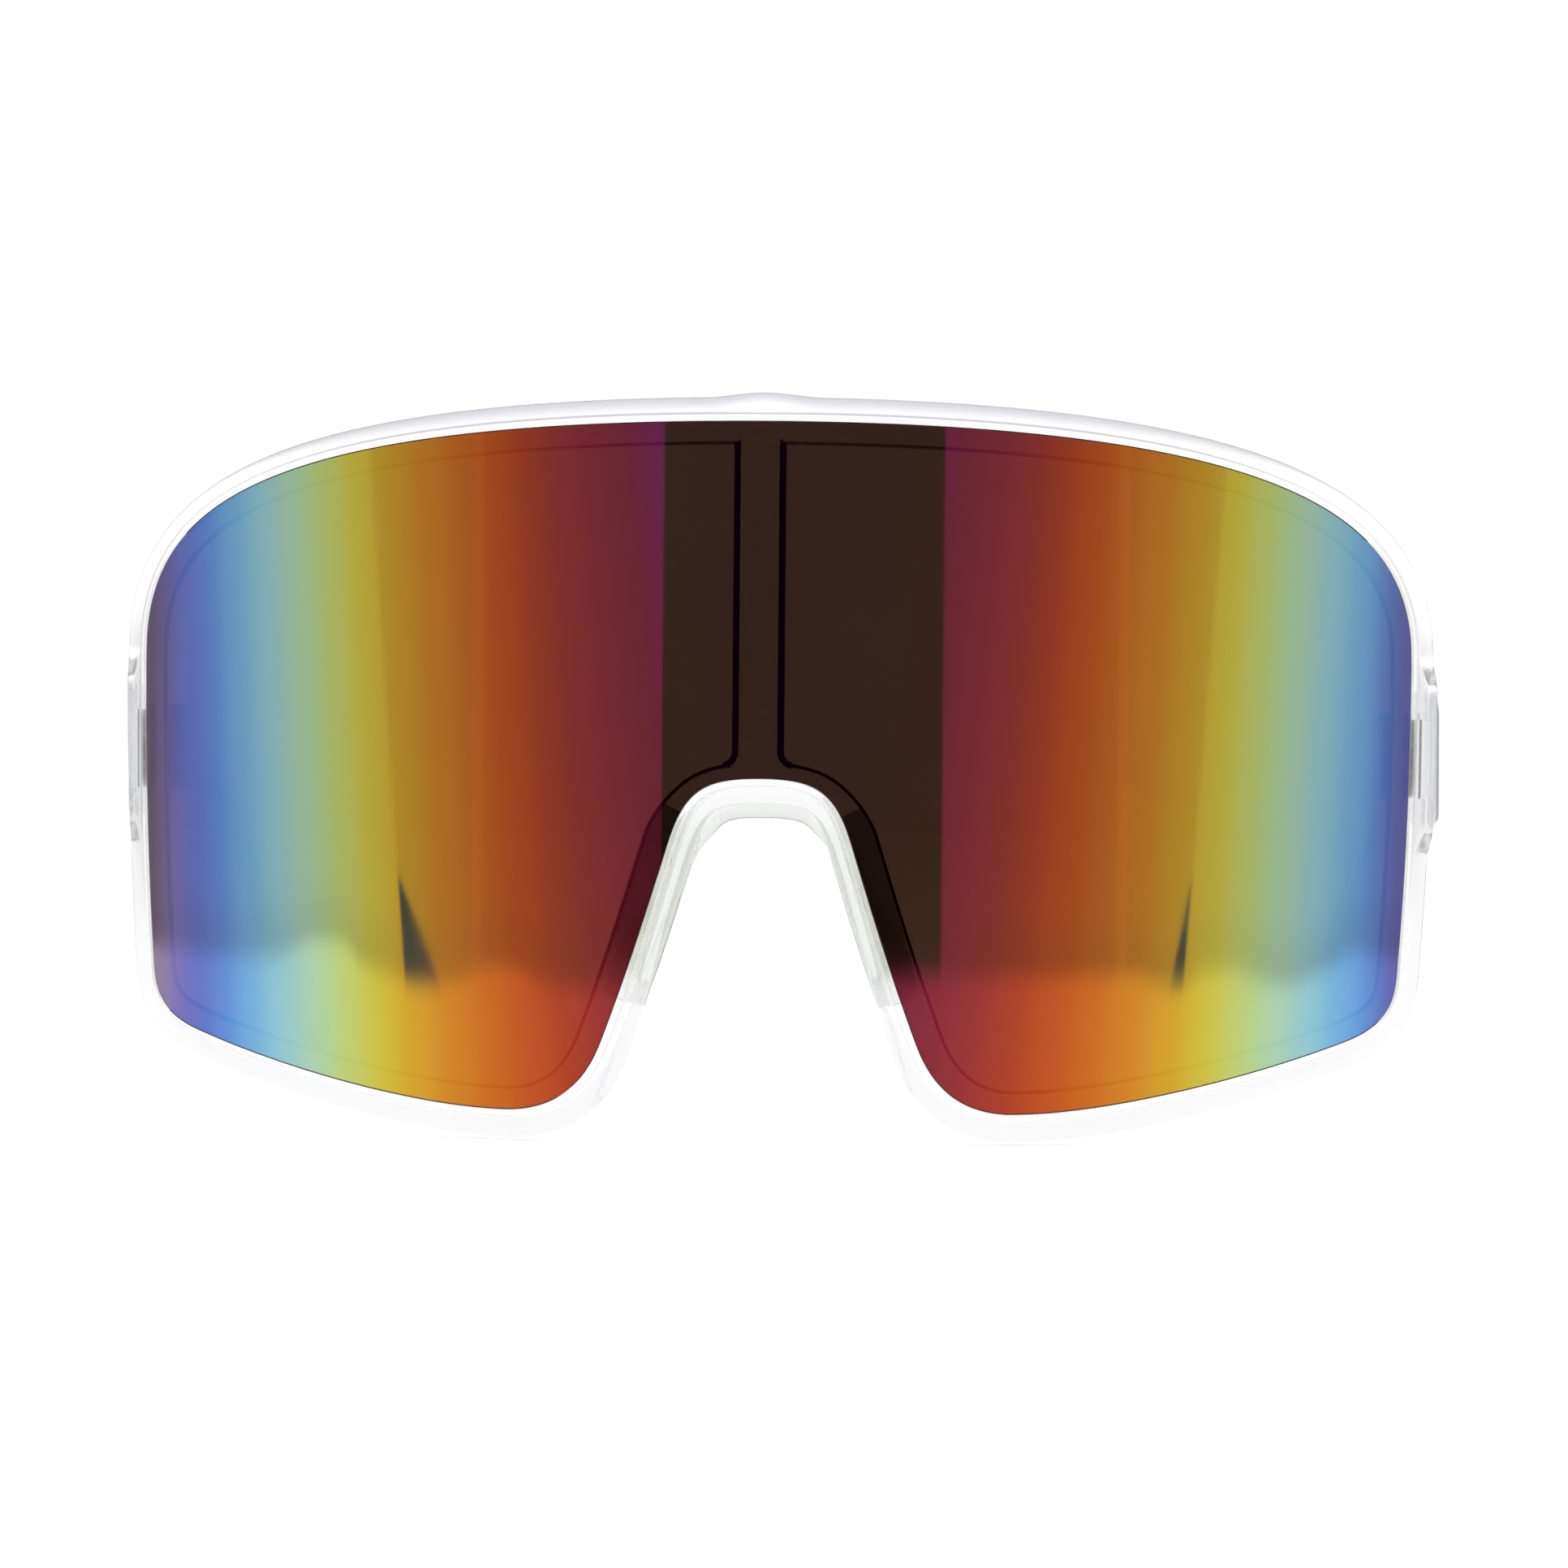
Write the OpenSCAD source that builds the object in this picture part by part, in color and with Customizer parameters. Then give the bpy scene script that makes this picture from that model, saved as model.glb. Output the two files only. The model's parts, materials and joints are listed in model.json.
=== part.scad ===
// Shield sunglasses: one wrapped mirror lens in a clear moulded frame, with two folding temples.
// X runs across the front, +Y towards the ears and +Z up.
// The origin is on the table, under the middle of the open glasses.

/* [Shield lens] */
// Width of the lens, measured along its curved front
lens_w = 169.7; // [158:0.1:180]
// Height of the lens, from its two lobes to its top edge
lens_h = 73.6; // [66:0.2:80]
// Radius of the front face about its upright axis
lens_r = 88; // [84:0.5:110]
// Thickness of the lens
lens_t = 2; // [1.4:0.1:2.6]

/* [Lens outline] */
// Height of the widest place above the lobes
widest_z = 50; // [46:0.5:54]
// Height above the lobes where a lower outer corner starts
corner_z = 13.5; // [10:0.5:18]
// How far the side has drawn in where that corner starts
corner_in = 1.6; // [0.8:0.1:3]
// Lean of the side there, in degrees from upright
side_lean = 5.5; // [3:0.5:8]
// Width of the lower outer corner
corner_w = 8; // [6:0.5:11]
// Height above the lobes where that corner ends
corner_end_z = 6.9; // [5:0.1:9]
// Rise of the lower edge at that corner, in degrees
lower_rise = 17; // [12:1:20]

/* [Nose gap] */
// Half the distance between the lowest points of the two lobes
lobe_x = 27.4; // [24:0.2:31]
// Height of the arch above the lobes
arch_z = 35.6; // [31:0.2:40]
// Half width of the gap at its foot
foot_x = 16.9; // [15:0.1:19]
// Height of that foot above the lobes
foot_z = 7.3; // [5:0.1:9]
// Lean of the gap's side at its foot, in degrees from upright
foot_lean = 21; // [18:1:24]
// Half width of the gap at its shoulders
shoulder_x = 9.8; // [8.6:0.1:11]
// Height of the arch above those shoulders
shoulder_drop = 7; // [5:0.1:9]
// Lean of the gap's side at its shoulders, in degrees from upright
shoulder_lean = 17; // [14:1:20]

/* [Frame rim] */
// Front lip that shows round the lens
lip_w = 0.75; // [0.5:0.05:1.2]
// How far the rim spreads past the lens at its back
rim_w = 3; // [2.4:0.1:4]
// The same below the lobes, which stand on the table
rim_foot_w = 3.6; // [2.8:0.1:4.6]
// Depth of the rim behind the front of the lens
rim_d = 6.6; // [5.4:0.1:8]
// Thickness of the rim's wall inside the line of the lens
wall_in = 0.6; // [0.3:0.1:1]
// Width of the flange behind the lens
flange_w = 2.3; // [1.8:0.1:3]
// Width of that flange beside the nose
nose_flange_w = 2.9; // [2:0.1:3.6]
// Width of that flange over the arch
arch_flange_w = 1.8; // [1.4:0.1:2.6]
// Thickness of the flange and the post
flange_t = 1.5; // [1.2:0.1:2]
// Width of the post behind the middle of the lens
post_w = 4.9; // [3.6:0.1:6]
// Radius at the foot of the post
post_r = 1.1; // [0.6:0.1:1.8]
// Width of the low pad on top of the rim
top_pad_w = 9; // [6:0.5:12]
// Height of that pad above the rim
top_pad_h = 0.5; // [0.3:0.1:1]
// Depth of that pad
top_pad_d = 3; // [2:0.1:4]

/* [End pieces] */
// Height of the hinges above the lobes of the lens
hinge_up = 38.6; // [35:0.2:42]
// How far the hinge line lies behind the side edge of the lens
hinge_back = 11.5; // [10:0.1:14]
// Height of an end piece where it meets its temple
end_h = 15.6; // [13:0.2:18]
// Distance over which the rim deepens to the end piece
end_blend = 4; // [3:0.1:6]
// How far an end piece spreads past the rim beside it
end_w = 1; // [0.5:0.1:1.6]

/* [Temples] */
// Thickness of a temple at its hinge
root_t = 3.5; // [3.2:0.1:4]
// Thickness of its slim middle
waist_t = 2.6; // [2.2:0.1:3.2]
// Height of its slim middle
waist_h = 5; // [4:0.1:7]
// Thickness behind the ear
ear_t = 3.2; // [2.6:0.1:4]
// Height behind the ear
ear_h = 7; // [5.6:0.1:8]
// Length from the hinge to the ear bend
arm_len = 64; // [56:1:74]
// Fall of that length, in degrees
arm_fall = 2.5; // [1:0.5:5]
// Radius of the ear bend
bend_r = 42; // [34:1:52]
// Angle of the ear bend
bend_angle = 42; // [36:1:48]
// How far the temple bows out
bow_out = 6.4; // [4:0.2:8]
// How far its tip comes in again
tip_in = 3.6; // [0:0.2:6]
// Rounding of the temple's long edges
arm_edge = 1.1; // [0.6:0.05:1.3]

/* [Hinges] */
// Height of a hinge over its three barrels
hinge_h = 9; // [7.5:0.1:10.5]
// Outer radius of a barrel
barrel_r = 1.6; // [1.4:0.05:1.9]
// Radius of the hinge screw
screw_r = 0.7; // [0.5:0.05:0.9]
// Radius of the screw's head
head_r = 1.25; // [1.1:0.05:1.4]
// Height of the screw's head
head_h = 0.8; // [0.6:0.05:1]
// Width of the slot in the head
slot_w = 0.35; // [0.25:0.05:0.45]
// Length of a leaf, from the hinge line
leaf_len = 7.5; // [6:0.1:9]
// Thickness of a leaf
leaf_t = 1; // [0.8:0.05:1.2]

/* [Nose piece] */
// Thickness of the soft nose piece
pad_t = 1.7; // [1.3:0.1:2.2]
// Thickness of a wing where it leaves the rim
pad_wing_t = 2.9; // [2.3:0.1:3.3]
// Its depth behind the rim at the arch
pad_arch_d = 3; // [2:0.1:4.5]
// Its depth behind the rim at the middle of a wing
pad_wing_d = 9; // [7:0.1:11]
// How far a wing's back edge stands wider than its front
pad_spread = 3.4; // [2:0.1:4.5]
// How far the back of the arch hangs below its front
pad_arch_drop = 1.3; // [0.5:0.1:2]
// How far it stands past the inner edge of the rim
pad_proud = 0.35; // [0.1:0.05:0.7]

/* [Fits] */
// Clearance between the lens and the wall of its seat
lens_gap = 0.08; // [0.04:0.01:0.15]
// Clearance behind the lens and in front of the nose piece
seat_gap = 0.05; // [0.03:0.01:0.1]
// Running clearance of a screw in its barrels, on the radius
run_fit = 0.03; // [0.02:0.005:0.06]
// Clearance between barrels, one above the other
barrel_gap = 0.08; // [0.05:0.01:0.15]
// Clearance of a leaf in its pocket
leaf_fit = 0.03; // [0.02:0.01:0.08]
// Gap between an end piece and its open temple
butt_gap = 0.2; // [0.12:0.02:0.4]
// Clearance between a barrel and the plastic beside it
barrel_clear = 0.15; // [0.1:0.01:0.3]

/* [Hidden] */

// Overrun of every cut
over = 1;

// Curve handles of the outline, as shares of the span that each curve crosses
top_share = 0.69;
crown_share = 0.78;
side_share = 0.33;
corner_share = 0.41;
lower_share = 0.28;
lobe_share = 0.41;
arch_share = 0.5;

// Steps along the outline's seven curves, from the top middle to the middle of the arch
top_steps = 26;
side_steps = 20;
corner_steps = 7;
lower_steps = 10;
lobe_steps = 9;
flank_steps = 8;
arch_steps = 9;

// Angle from the middle of the lens to its side edge, and half its width seen from the front
wrap_angle = lens_w / 2 / lens_r * 180 / PI;
half_w = lens_r * sin(wrap_angle);

// Half the lens outline's named points, [x, z above the lobes]
top_mid = [0, lens_h];
widest = [half_w, widest_z];
corner_top = [half_w - corner_in, corner_z];
corner_low = [half_w - corner_w, corner_end_z];
lobe_low = [lobe_x, 0];
gap_foot = [foot_x, foot_z];
gap_shoulder = [shoulder_x, arch_z - shoulder_drop];
arch_mid = [0, arch_z];

// Directions of travel at those points
side_dir = [-sin(side_lean), -cos(side_lean)];
lower_dir = [-cos(lower_rise), -sin(lower_rise)];
foot_dir = [-sin(foot_lean), cos(foot_lean)];
shoulder_dir = [-sin(shoulder_lean), cos(shoulder_lean)];

// Heights of the lens and hinges above the table
lens_z = rim_foot_w;
hinge_z = lens_z + hinge_up;

// The lip stands slightly proud of the lens, with small roundings
lip_proud = 0.2;
lip_edge = 0.2;
rim_edge = 0.8;
flange_edge = 0.3;
lobe_blend = 12;
foot_blend = 14;

// A sheet of the lens at the side edge, from which the hinge line is set back
side_y = lens_r * (1 - cos(wrap_angle));
hinge_y = side_y + hinge_back;
pin_y = hinge_y + butt_gap / 2;

// A temple's root is flush with its end piece outside; the hinge pins stand beside its inner face
outer_x = half_w + rim_w + end_w;
inner_x = outer_x - root_t;
pin_x = inner_x - barrel_clear - barrel_r;
root_x = inner_x + root_t / 2;

// Each hinge is a stack of three barrels
barrel_count = 3;
barrel_h = (hinge_h - (barrel_count - 1) * barrel_gap) / barrel_count;

// Route of a temple, in side view: a straight arm, the ear bend and a straight tip
arm_y = hinge_y + butt_gap;
end_angle = arm_fall + bend_angle;
bend_len = bend_r * bend_angle * PI / 180;
bend_y = arm_y + arm_len * cos(arm_fall);
bend_z = hinge_z - arm_len * sin(arm_fall);
tip_y = bend_y + bend_r * (sin(end_angle) - sin(arm_fall));
tip_z = bend_z - bend_r * (cos(arm_fall) - cos(end_angle));
tip_r = ear_h / 2;
tip_len = (tip_z - tip_r) / sin(end_angle);
ear_len = arm_len + bend_len + tip_len;
end_y = tip_y + tip_len * cos(end_angle) + tip_r;

// The front of the lens lies half the overall depth before the origin
shift_y = -(end_y - lip_proud) / 2;

// Stations along a temple, in shares of its length, and its rounded end
arm_steps = 34;
cap_steps = 6;
root_square_len = 12;
waist_share = 0.42;
ear_from_share = 0.6;
ear_to_share = 0.8;
cap_thin_share = 0.4;
full_round_share = 0.48;
edge_steps = 3;

// The nose piece follows the gap from low on one flank to low on the other
pad_edge = 0.5;
pad_peak_share = 0.66;
pad_foot_d = 2.4;
pad_bare_steps = 2;

function clamp(v) = min(1, max(0, v));
function smooth(v) = pow(clamp(v), 2) * (3 - 2 * clamp(v));
function mix(a, b, v) = a + (b - a) * v;

// Points of a cubic curve without its last
function curve(a, b, c, d, steps) =
    [for (i = [0:steps - 1]) let (t = i / steps, u = 1 - t)
        pow(u, 3) * a + 3 * pow(u, 2) * t * b + 3 * u * pow(t, 2) * c + pow(t, 3) * d];

// A cubic curve from a to d that leaves along one direction and arrives along another
function bend(a, from_dir, d, to_dir, share, steps) =
    let (reach = share * norm(d - a))
    curve(a, a + reach * from_dir, d - reach * to_dir, d, steps);

half_outline = concat(
    curve(top_mid, top_mid + [top_share * half_w, 0],
          widest + [0, crown_share * (lens_h - widest_z)], widest, top_steps),
    bend(widest, [0, -1], corner_top, side_dir, side_share, side_steps),
    bend(corner_top, side_dir, corner_low, lower_dir, corner_share, corner_steps),
    bend(corner_low, lower_dir, lobe_low, [-1, 0], lower_share, lower_steps),
    bend(lobe_low, [-1, 0], gap_foot, foot_dir, lobe_share, lobe_steps),
    bend(gap_foot, foot_dir, gap_shoulder, shoulder_dir, side_share, flank_steps),
    bend(gap_shoulder, shoulder_dir, arch_mid, [-1, 0], arch_share, arch_steps),
    [arch_mid]);
half_last = len(half_outline) - 1;
outline = concat(half_outline,
    [for (i = [half_last - 1:-1:1]) [-half_outline[i].x, half_outline[i].y]]);
count = len(outline);
function around(i) = outline[(i + count) % count];

// Unit normal that points away from the lens
function away(i) =
    let (run = around(i + 1) - around(i - 1))
    [-run.y, run.x] / norm(run);

// Depth at x of an upright cylinder that shares the lens's axis
function sheet(x, r) = lens_r - sqrt(pow(r, 2) - pow(x, 2));
seat_r = lens_r - lens_t - seat_gap;

// How much a station belongs to the nose gap, the lower edge and an end piece, from 0 to 1
function nose_part(p) = p.y > arch_z + over ? 0 : smooth((lobe_x - abs(p.x)) / lobe_blend);
function foot_part(p) = 1 - smooth(p.y / foot_blend);
function end_part(p) =
    abs(p.x) < half_w / 2 ? 0
    : smooth((end_h / 2 + end_blend - abs(p.y - hinge_up)) / end_blend);

function flange_at(p) =
    let (side = smooth((arch_z - p.y) / shoulder_drop))
    mix(flange_w, mix(arch_flange_w, nose_flange_w, side), nose_part(p));
function spread_at(p) = mix(rim_w, rim_foot_w, foot_part(p)) + end_w * end_part(p);
function wall_at(p) = mix(-wall_in, inner_x - half_w, end_part(p));
function back_at(p) = mix(sheet(p.x, lens_r) + rim_d, hinge_y, end_part(p));

// Section of the rim at a station: flange, inner wall, flared outer wall, front lip and lens seat
function rim_section(i) =
    let (p = outline[i], n = away(i), flange = flange_at(p), out = spread_at(p), back = back_at(p))
    let (seat = function(o) sheet((p + o * n).x, seat_r), face = function(o) sheet((p + o * n).x, lens_r))
    let (inner = -flange, wall = -wall_in, rear = wall_at(p), lip = lip_w, front = face(lip), belly_share = 0.45)
    [for (q = [
        [lens_gap, seat(lens_gap)],
        [lens_gap, face(lens_gap) - lip_proud + lip_edge],
        [lens_gap + lip_edge / 2, face(lens_gap) - lip_proud],
        [lip - lip_edge, face(lip - lip_edge) - lip_proud],
        [lip, front + lip_edge - lip_proud],
        [mix(lip, out, belly_share), mix(front, back, pow(belly_share, 2))],
        [mix(lip, out, 1 - pow(belly_share, 2)), mix(front, back, 1 - belly_share)],
        [out, back - rim_edge],
        [out - rim_edge * (1 - sqrt(1 / 2)), back - rim_edge * (1 - sqrt(1 / 2))],
        [out - rim_edge, back],
        [rear + rim_edge / 2, back],
        [rear, back - rim_edge / 2],
        [wall, seat(wall) + flange_t],
        [inner + flange_edge, seat(inner + flange_edge) + flange_t],
        [inner, seat(inner) + flange_t - flange_edge],
        [inner, seat(inner)]
    ]) [p.x + q.x * n.x, q.y, lens_z + p.y + q.x * n.y]];

// A skin over rings of equal count, closed on itself or with a cap at each end
module skin(rings, closed) {
    rows = len(rings);
    per = len(rings[0]);
    last = closed ? rows - 1 : rows - 2;
    walls = [for (i = [0:last], j = [0:per - 1])
        let (a = i * per + j,
             b = i * per + (j + 1) % per,
             c = ((i + 1) % rows) * per + (j + 1) % per,
             d = ((i + 1) % rows) * per + j)
        each [[a, b, c], [a, c, d]]];
    caps = closed ? [] : [
        [for (j = [per - 1:-1:0]) j],
        [for (j = [0:per - 1]) (rows - 1) * per + j]];
    polyhedron([for (ring = rings) each ring], concat(walls, caps), convexity = 12);
}

module place() {
    translate([0, shift_y, 0])
        children();
}

// The wearer's left side is at +X
module on_side(side) {
    place()
        if (side > 0) children();
        else mirror([1, 0, 0]) children();
}

// Fills from one upright cylinder about the lens axis to another
module shell(outer, inner, low, high) {
    translate([0, lens_r, low])
        difference() {
            cylinder(r = outer, h = high - low, $fn = 200);
            translate([0, 0, -over])
                cylinder(r = inner, h = high - low + 2 * over, $fn = 200);
        }
}

module post() {
    foot = lens_z + arch_z + arch_flange_w;
    head = lens_z + lens_h - flange_w;
    wide = post_w / 2 + post_r;
    arc = [for (a = [0:15:90]) [wide - post_r * sin(a), foot + post_r * (1 - cos(a))]];
    side = concat([[wide, foot - arch_flange_w / 2]], arc, [[post_w / 2, head + flange_w / 2]]);
    translate([0, sheet(wide, seat_r) + flange_t, 0])
        rotate([90, 0, 0])
            linear_extrude(height = flange_t)
                polygon(concat(side, [for (k = [len(side) - 1:-1:0]) [-side[k].x, side[k].y]]));
}

// A low rise on top of the rim's back edge: the crest of a wide arc
module top_pad() {
    crest_z = lens_z + lens_h + rim_w + top_pad_h;
    crest_r = (pow(top_pad_w / 2, 2) + pow(top_pad_h, 2)) / (2 * top_pad_h);
    translate([0, rim_d - rim_edge / 2, crest_z - crest_r])
        rotate([90, 0, 0])
            linear_extrude(height = top_pad_d)
                intersection() {
                    circle(r = crest_r, $fn = 240);
                    translate([-top_pad_w / 2, crest_r - top_pad_h - rim_edge])
                        square([top_pad_w, top_pad_h + rim_edge]);
                }
}

// Room for a hinge leaf in the inner face of an end piece or a temple
module leaf_pocket(way) {
    long = leaf_len + leaf_fit;
    inward = wall_in + inner_x - half_w + over;
    translate([inner_x - inward, way > 0 ? pin_y - over : pin_y - long, hinge_z - hinge_h / 2 - leaf_fit])
        cube([inward + leaf_t + leaf_fit, long + over, hinge_h + 2 * leaf_fit]);
}

module front_frame() {
    color([0.93, 0.93, 0.96, 0.75])
        place()
            difference() {
                union() {
                    skin([for (i = [0:count - 1]) rim_section(i)], true);
                    post();
                    top_pad();
                }
                leaf_pocket(-1);
                mirror([1, 0, 0])
                    leaf_pocket(-1);
            }
}

module shield_lens() {
    color([0.55, 0.22, 0.16])
        place()
            intersection() {
                shell(lens_r, lens_r - lens_t, lens_z - over, lens_z + lens_h + over);
                translate([0, side_y + over, lens_z])
                    rotate([90, 0, 0])
                        linear_extrude(height = side_y + 2 * over + lens_t * 2)
                            polygon(outline);
            }
}

// The soft saddle that lines the nose gap behind the rim
pad_from = half_last - arch_steps - flank_steps + pad_bare_steps;
pad_to = 2 * half_last - pad_from;

function pad_section(i) =
    let (p = around(i), n = away(i), v = abs(i - half_last) / (half_last - pad_from))
    let (wing = sin(180 * pow(v, log(0.5) / log(pad_peak_share))))
    let (root_t = mix(pad_t, pad_wing_t, wing))
    let (deep = mix(mix(pad_arch_d, pad_foot_d, v), pad_wing_d, wing))
    let (lean = mix(pad_arch_drop, -pad_spread, smooth(v / pad_peak_share)) * deep / mix(pad_arch_d, pad_wing_d, wing))
    let (o = spread_at(p) + pad_proud, y = sheet(p.x, lens_r) + rim_d + seat_gap)
    [for (q = [
        [o - root_t, 0],
        [o - pad_edge, 0],
        [o, pad_edge],
        [o + lean / 3, deep / 2],
        [o + lean, deep - pad_edge],
        [o + lean - pad_edge, deep],
        [o + lean - pad_t + pad_edge, deep],
        [o + lean - pad_t, deep - pad_edge],
        [o + lean / 3 - (root_t + pad_t) / 2, deep / 2]
    ]) [p.x + q.x * n.x, y + q.y, lens_z + p.y + q.x * n.y]];

module nose_piece() {
    color([0.86, 0.92, 0.88, 0.8])
        place()
            skin([for (i = [pad_from:pad_to]) pad_section(i)], false);
}

// Place and slope of a temple's route at a length along it
function arm_slope(s) = arm_fall + bend_angle * clamp((s - arm_len) / bend_len);
function arm_place(s) =
    s < arm_len ? [arm_y + s * cos(arm_fall), hinge_z - s * sin(arm_fall)]
    : s < arm_len + bend_len ? [bend_y + bend_r * (sin(arm_slope(s)) - sin(arm_fall)),
                                bend_z - bend_r * (cos(arm_fall) - cos(arm_slope(s)))]
    : [tip_y + (s - arm_len - bend_len) * cos(end_angle), tip_z - (s - arm_len - bend_len) * sin(end_angle)];

function arm_x(s) =
    let (t = s / (ear_len + tip_r), u = 1 - t)
    root_x + 3 * pow(u, 2) * t * bow_out + 3 * u * pow(t, 2) * bow_out - pow(t, 3) * tip_in;
function arm_size(s) =
    let (t = s / ear_len, slim = smooth(t / waist_share),
         ear = smooth((t - ear_from_share) / (ear_to_share - ear_from_share)))
    [mix(mix(root_t, waist_t, slim), ear_t, ear), mix(mix(end_h, waist_h, slim), ear_h, ear)];

// A rounded rectangle as a ring of points
function round_ring(w, h, r) =
    [for (k = [0:3], a = [0:90 / edge_steps:90])
        let (turn = 90 * k + a, sx = k == 0 || k == 3 ? 1 : -1, sy = k < 2 ? 1 : -1)
        [sx * (w / 2 - r) + r * cos(turn), sy * (h / 2 - r) + r * sin(turn)]];

function arm_ring(s, thin, low) =
    let (c = arm_place(s), x = arm_x(s), size = arm_size(s), w = size.x * thin, h = size.y * low)
    let (slope = arm_slope(s) * smooth(s / root_square_len), r = min(arm_edge * thin, h * full_round_share))
    [for (q = round_ring(w, h, r)) [x + q.x, c.x + q.y * sin(slope), c.y + q.y * cos(slope)]];

module temple(side) {
    color([0.93, 0.93, 0.96, 0.75])
        on_side(side)
            difference() {
                skin(concat(
                    [for (k = [0:arm_steps]) arm_ring(ear_len * k / arm_steps, 1, 1)],
                    [for (k = [1:cap_steps - 1]) let (a = 90 * k / cap_steps)
                        arm_ring(ear_len + tip_r * sin(a), mix(cap_thin_share, 1, cos(a)), cos(a))]),
                    false);
                leaf_pocket(1);
            }
}

// A ring of the hinge's stack, by its number from below
module barrel(k) {
    translate([pin_x, pin_y, hinge_z - hinge_h / 2 + k * (barrel_h + barrel_gap)])
        cylinder(r = barrel_r, h = barrel_h, $fn = 48);
}

// The web that joins a barrel to its leaf, on the leaf's own side of the hinge line
module barrel_web(k, way) {
    reach = barrel_r - butt_gap / 2;
    translate([pin_x, way > 0 ? pin_y + butt_gap / 2 : pin_y - barrel_r,
               hinge_z - hinge_h / 2 + k * (barrel_h + barrel_gap)])
        cube([inner_x + leaf_t - pin_x, reach, barrel_h]);
}

module hinge_leaf(side, way, barrels) {
    plate = leaf_len - butt_gap / 2;
    color("silver")
        on_side(side)
            difference() {
                union() {
                    translate([inner_x, way > 0 ? pin_y + butt_gap / 2 : pin_y - leaf_len, hinge_z - hinge_h / 2])
                        cube([leaf_t, plate, hinge_h]);
                    for (k = barrels) {
                        barrel(k);
                        barrel_web(k, way);
                    }
                }
                translate([pin_x, pin_y, hinge_z - hinge_h / 2 - over])
                    cylinder(r = screw_r + run_fit, h = hinge_h + 2 * over, $fn = 48);
            }
}

module hinge_screw(side) {
    color("gray")
        on_side(side)
            translate([pin_x, pin_y, hinge_z - hinge_h / 2])
                difference() {
                    union() {
                        cylinder(r = screw_r, h = hinge_h, $fn = 48);
                        translate([0, 0, hinge_h])
                            cylinder(r = head_r, h = head_h, $fn = 48);
                    }
                    translate([-head_r - over, -slot_w / 2, hinge_h + head_h / 2])
                        cube([2 * (head_r + over), slot_w, head_h]);
                }
}

module left_temple() { temple(1); }
module right_temple() { temple(-1); }
module left_front_hinge_leaf() { hinge_leaf(1, -1, [0, 2]); }
module right_front_hinge_leaf() { hinge_leaf(-1, -1, [0, 2]); }
module left_temple_hinge_leaf() { hinge_leaf(1, 1, [1]); }
module right_temple_hinge_leaf() { hinge_leaf(-1, 1, [1]); }
module left_hinge_screw() { hinge_screw(1); }
module right_hinge_screw() { hinge_screw(-1); }

front_frame();
shield_lens();
nose_piece();
left_temple();
right_temple();
left_front_hinge_leaf();
right_front_hinge_leaf();
left_temple_hinge_leaf();
right_temple_hinge_leaf();
left_hinge_screw();
right_hinge_screw();
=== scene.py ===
import json
import math

import bmesh
import bpy
import numpy as np
from mathutils import Matrix, Vector


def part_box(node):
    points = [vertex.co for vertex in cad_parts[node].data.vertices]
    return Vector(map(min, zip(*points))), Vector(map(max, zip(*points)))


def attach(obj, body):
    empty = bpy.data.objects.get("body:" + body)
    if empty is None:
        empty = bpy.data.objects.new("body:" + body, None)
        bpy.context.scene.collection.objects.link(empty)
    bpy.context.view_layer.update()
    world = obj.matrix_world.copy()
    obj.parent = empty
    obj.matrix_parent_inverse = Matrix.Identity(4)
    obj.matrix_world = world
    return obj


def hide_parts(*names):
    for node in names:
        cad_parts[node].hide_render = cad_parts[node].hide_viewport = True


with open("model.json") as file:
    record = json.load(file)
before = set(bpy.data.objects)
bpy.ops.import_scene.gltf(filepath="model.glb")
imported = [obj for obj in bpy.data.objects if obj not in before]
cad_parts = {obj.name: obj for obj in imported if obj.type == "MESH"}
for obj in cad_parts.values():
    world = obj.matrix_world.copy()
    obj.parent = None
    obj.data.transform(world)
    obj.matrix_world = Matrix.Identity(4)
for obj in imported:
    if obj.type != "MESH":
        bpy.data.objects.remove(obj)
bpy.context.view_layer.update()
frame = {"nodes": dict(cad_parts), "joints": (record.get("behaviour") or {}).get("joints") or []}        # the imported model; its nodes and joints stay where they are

# Shapes are worked out in millimetres and made in metres. +X is the wearer's left, +Y goes back, +Z is up.
mm = 0.001
weldDistance = 1e-6
scene = bpy.context.scene


def smoothStep(value):
    value = np.clip(value, 0, 1)
    return value * value * (3 - 2 * value)


def mix(a, b, share):
    return a + (b - a) * share


def boxOf(node):
    return [np.array(corner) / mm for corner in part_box(node)]


def arc(centre, radius, fromAngle, toAngle, steps):
    angles = np.radians(np.linspace(fromAngle, toAngle, steps + 1))
    return [(centre[0] + radius * math.cos(a), centre[1] + radius * math.sin(a)) for a in angles]


# Node helpers, for geometry, material and world trees alike

def addNode(tree, kind, inputs=None, **settings):
    node = tree.nodes.new(kind)
    for name, value in settings.items():
        setattr(node, name, value)
    for key, value in (inputs or {}).items():
        if isinstance(value, bpy.types.NodeSocket):
            tree.links.new(value, node.inputs[key])
        else:
            node.inputs[key].default_value = value
    return node


def calc(tree, operation, *terms):
    return addNode(tree, "ShaderNodeMath", dict(enumerate(terms)), operation=operation).outputs[0]


def vectorCalc(tree, operation, *terms):
    node = addNode(tree, "ShaderNodeVectorMath", dict(enumerate(terms)), operation=operation)
    return node.outputs[0]


def addSockets(group, inputs, outputs):
    for name, kind in inputs:
        group.interface.new_socket(name, in_out="INPUT", socket_type="NodeSocket" + kind)
    for name, kind in outputs:
        group.interface.new_socket(name, in_out="OUTPUT", socket_type="NodeSocket" + kind)
    return group.nodes.new("NodeGroupInput"), group.nodes.new("NodeGroupOutput")


# Mesh helpers

def newPiece(name, mesh):
    piece = bpy.data.objects.new(name, mesh)
    scene.collection.objects.link(piece)
    return piece


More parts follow.
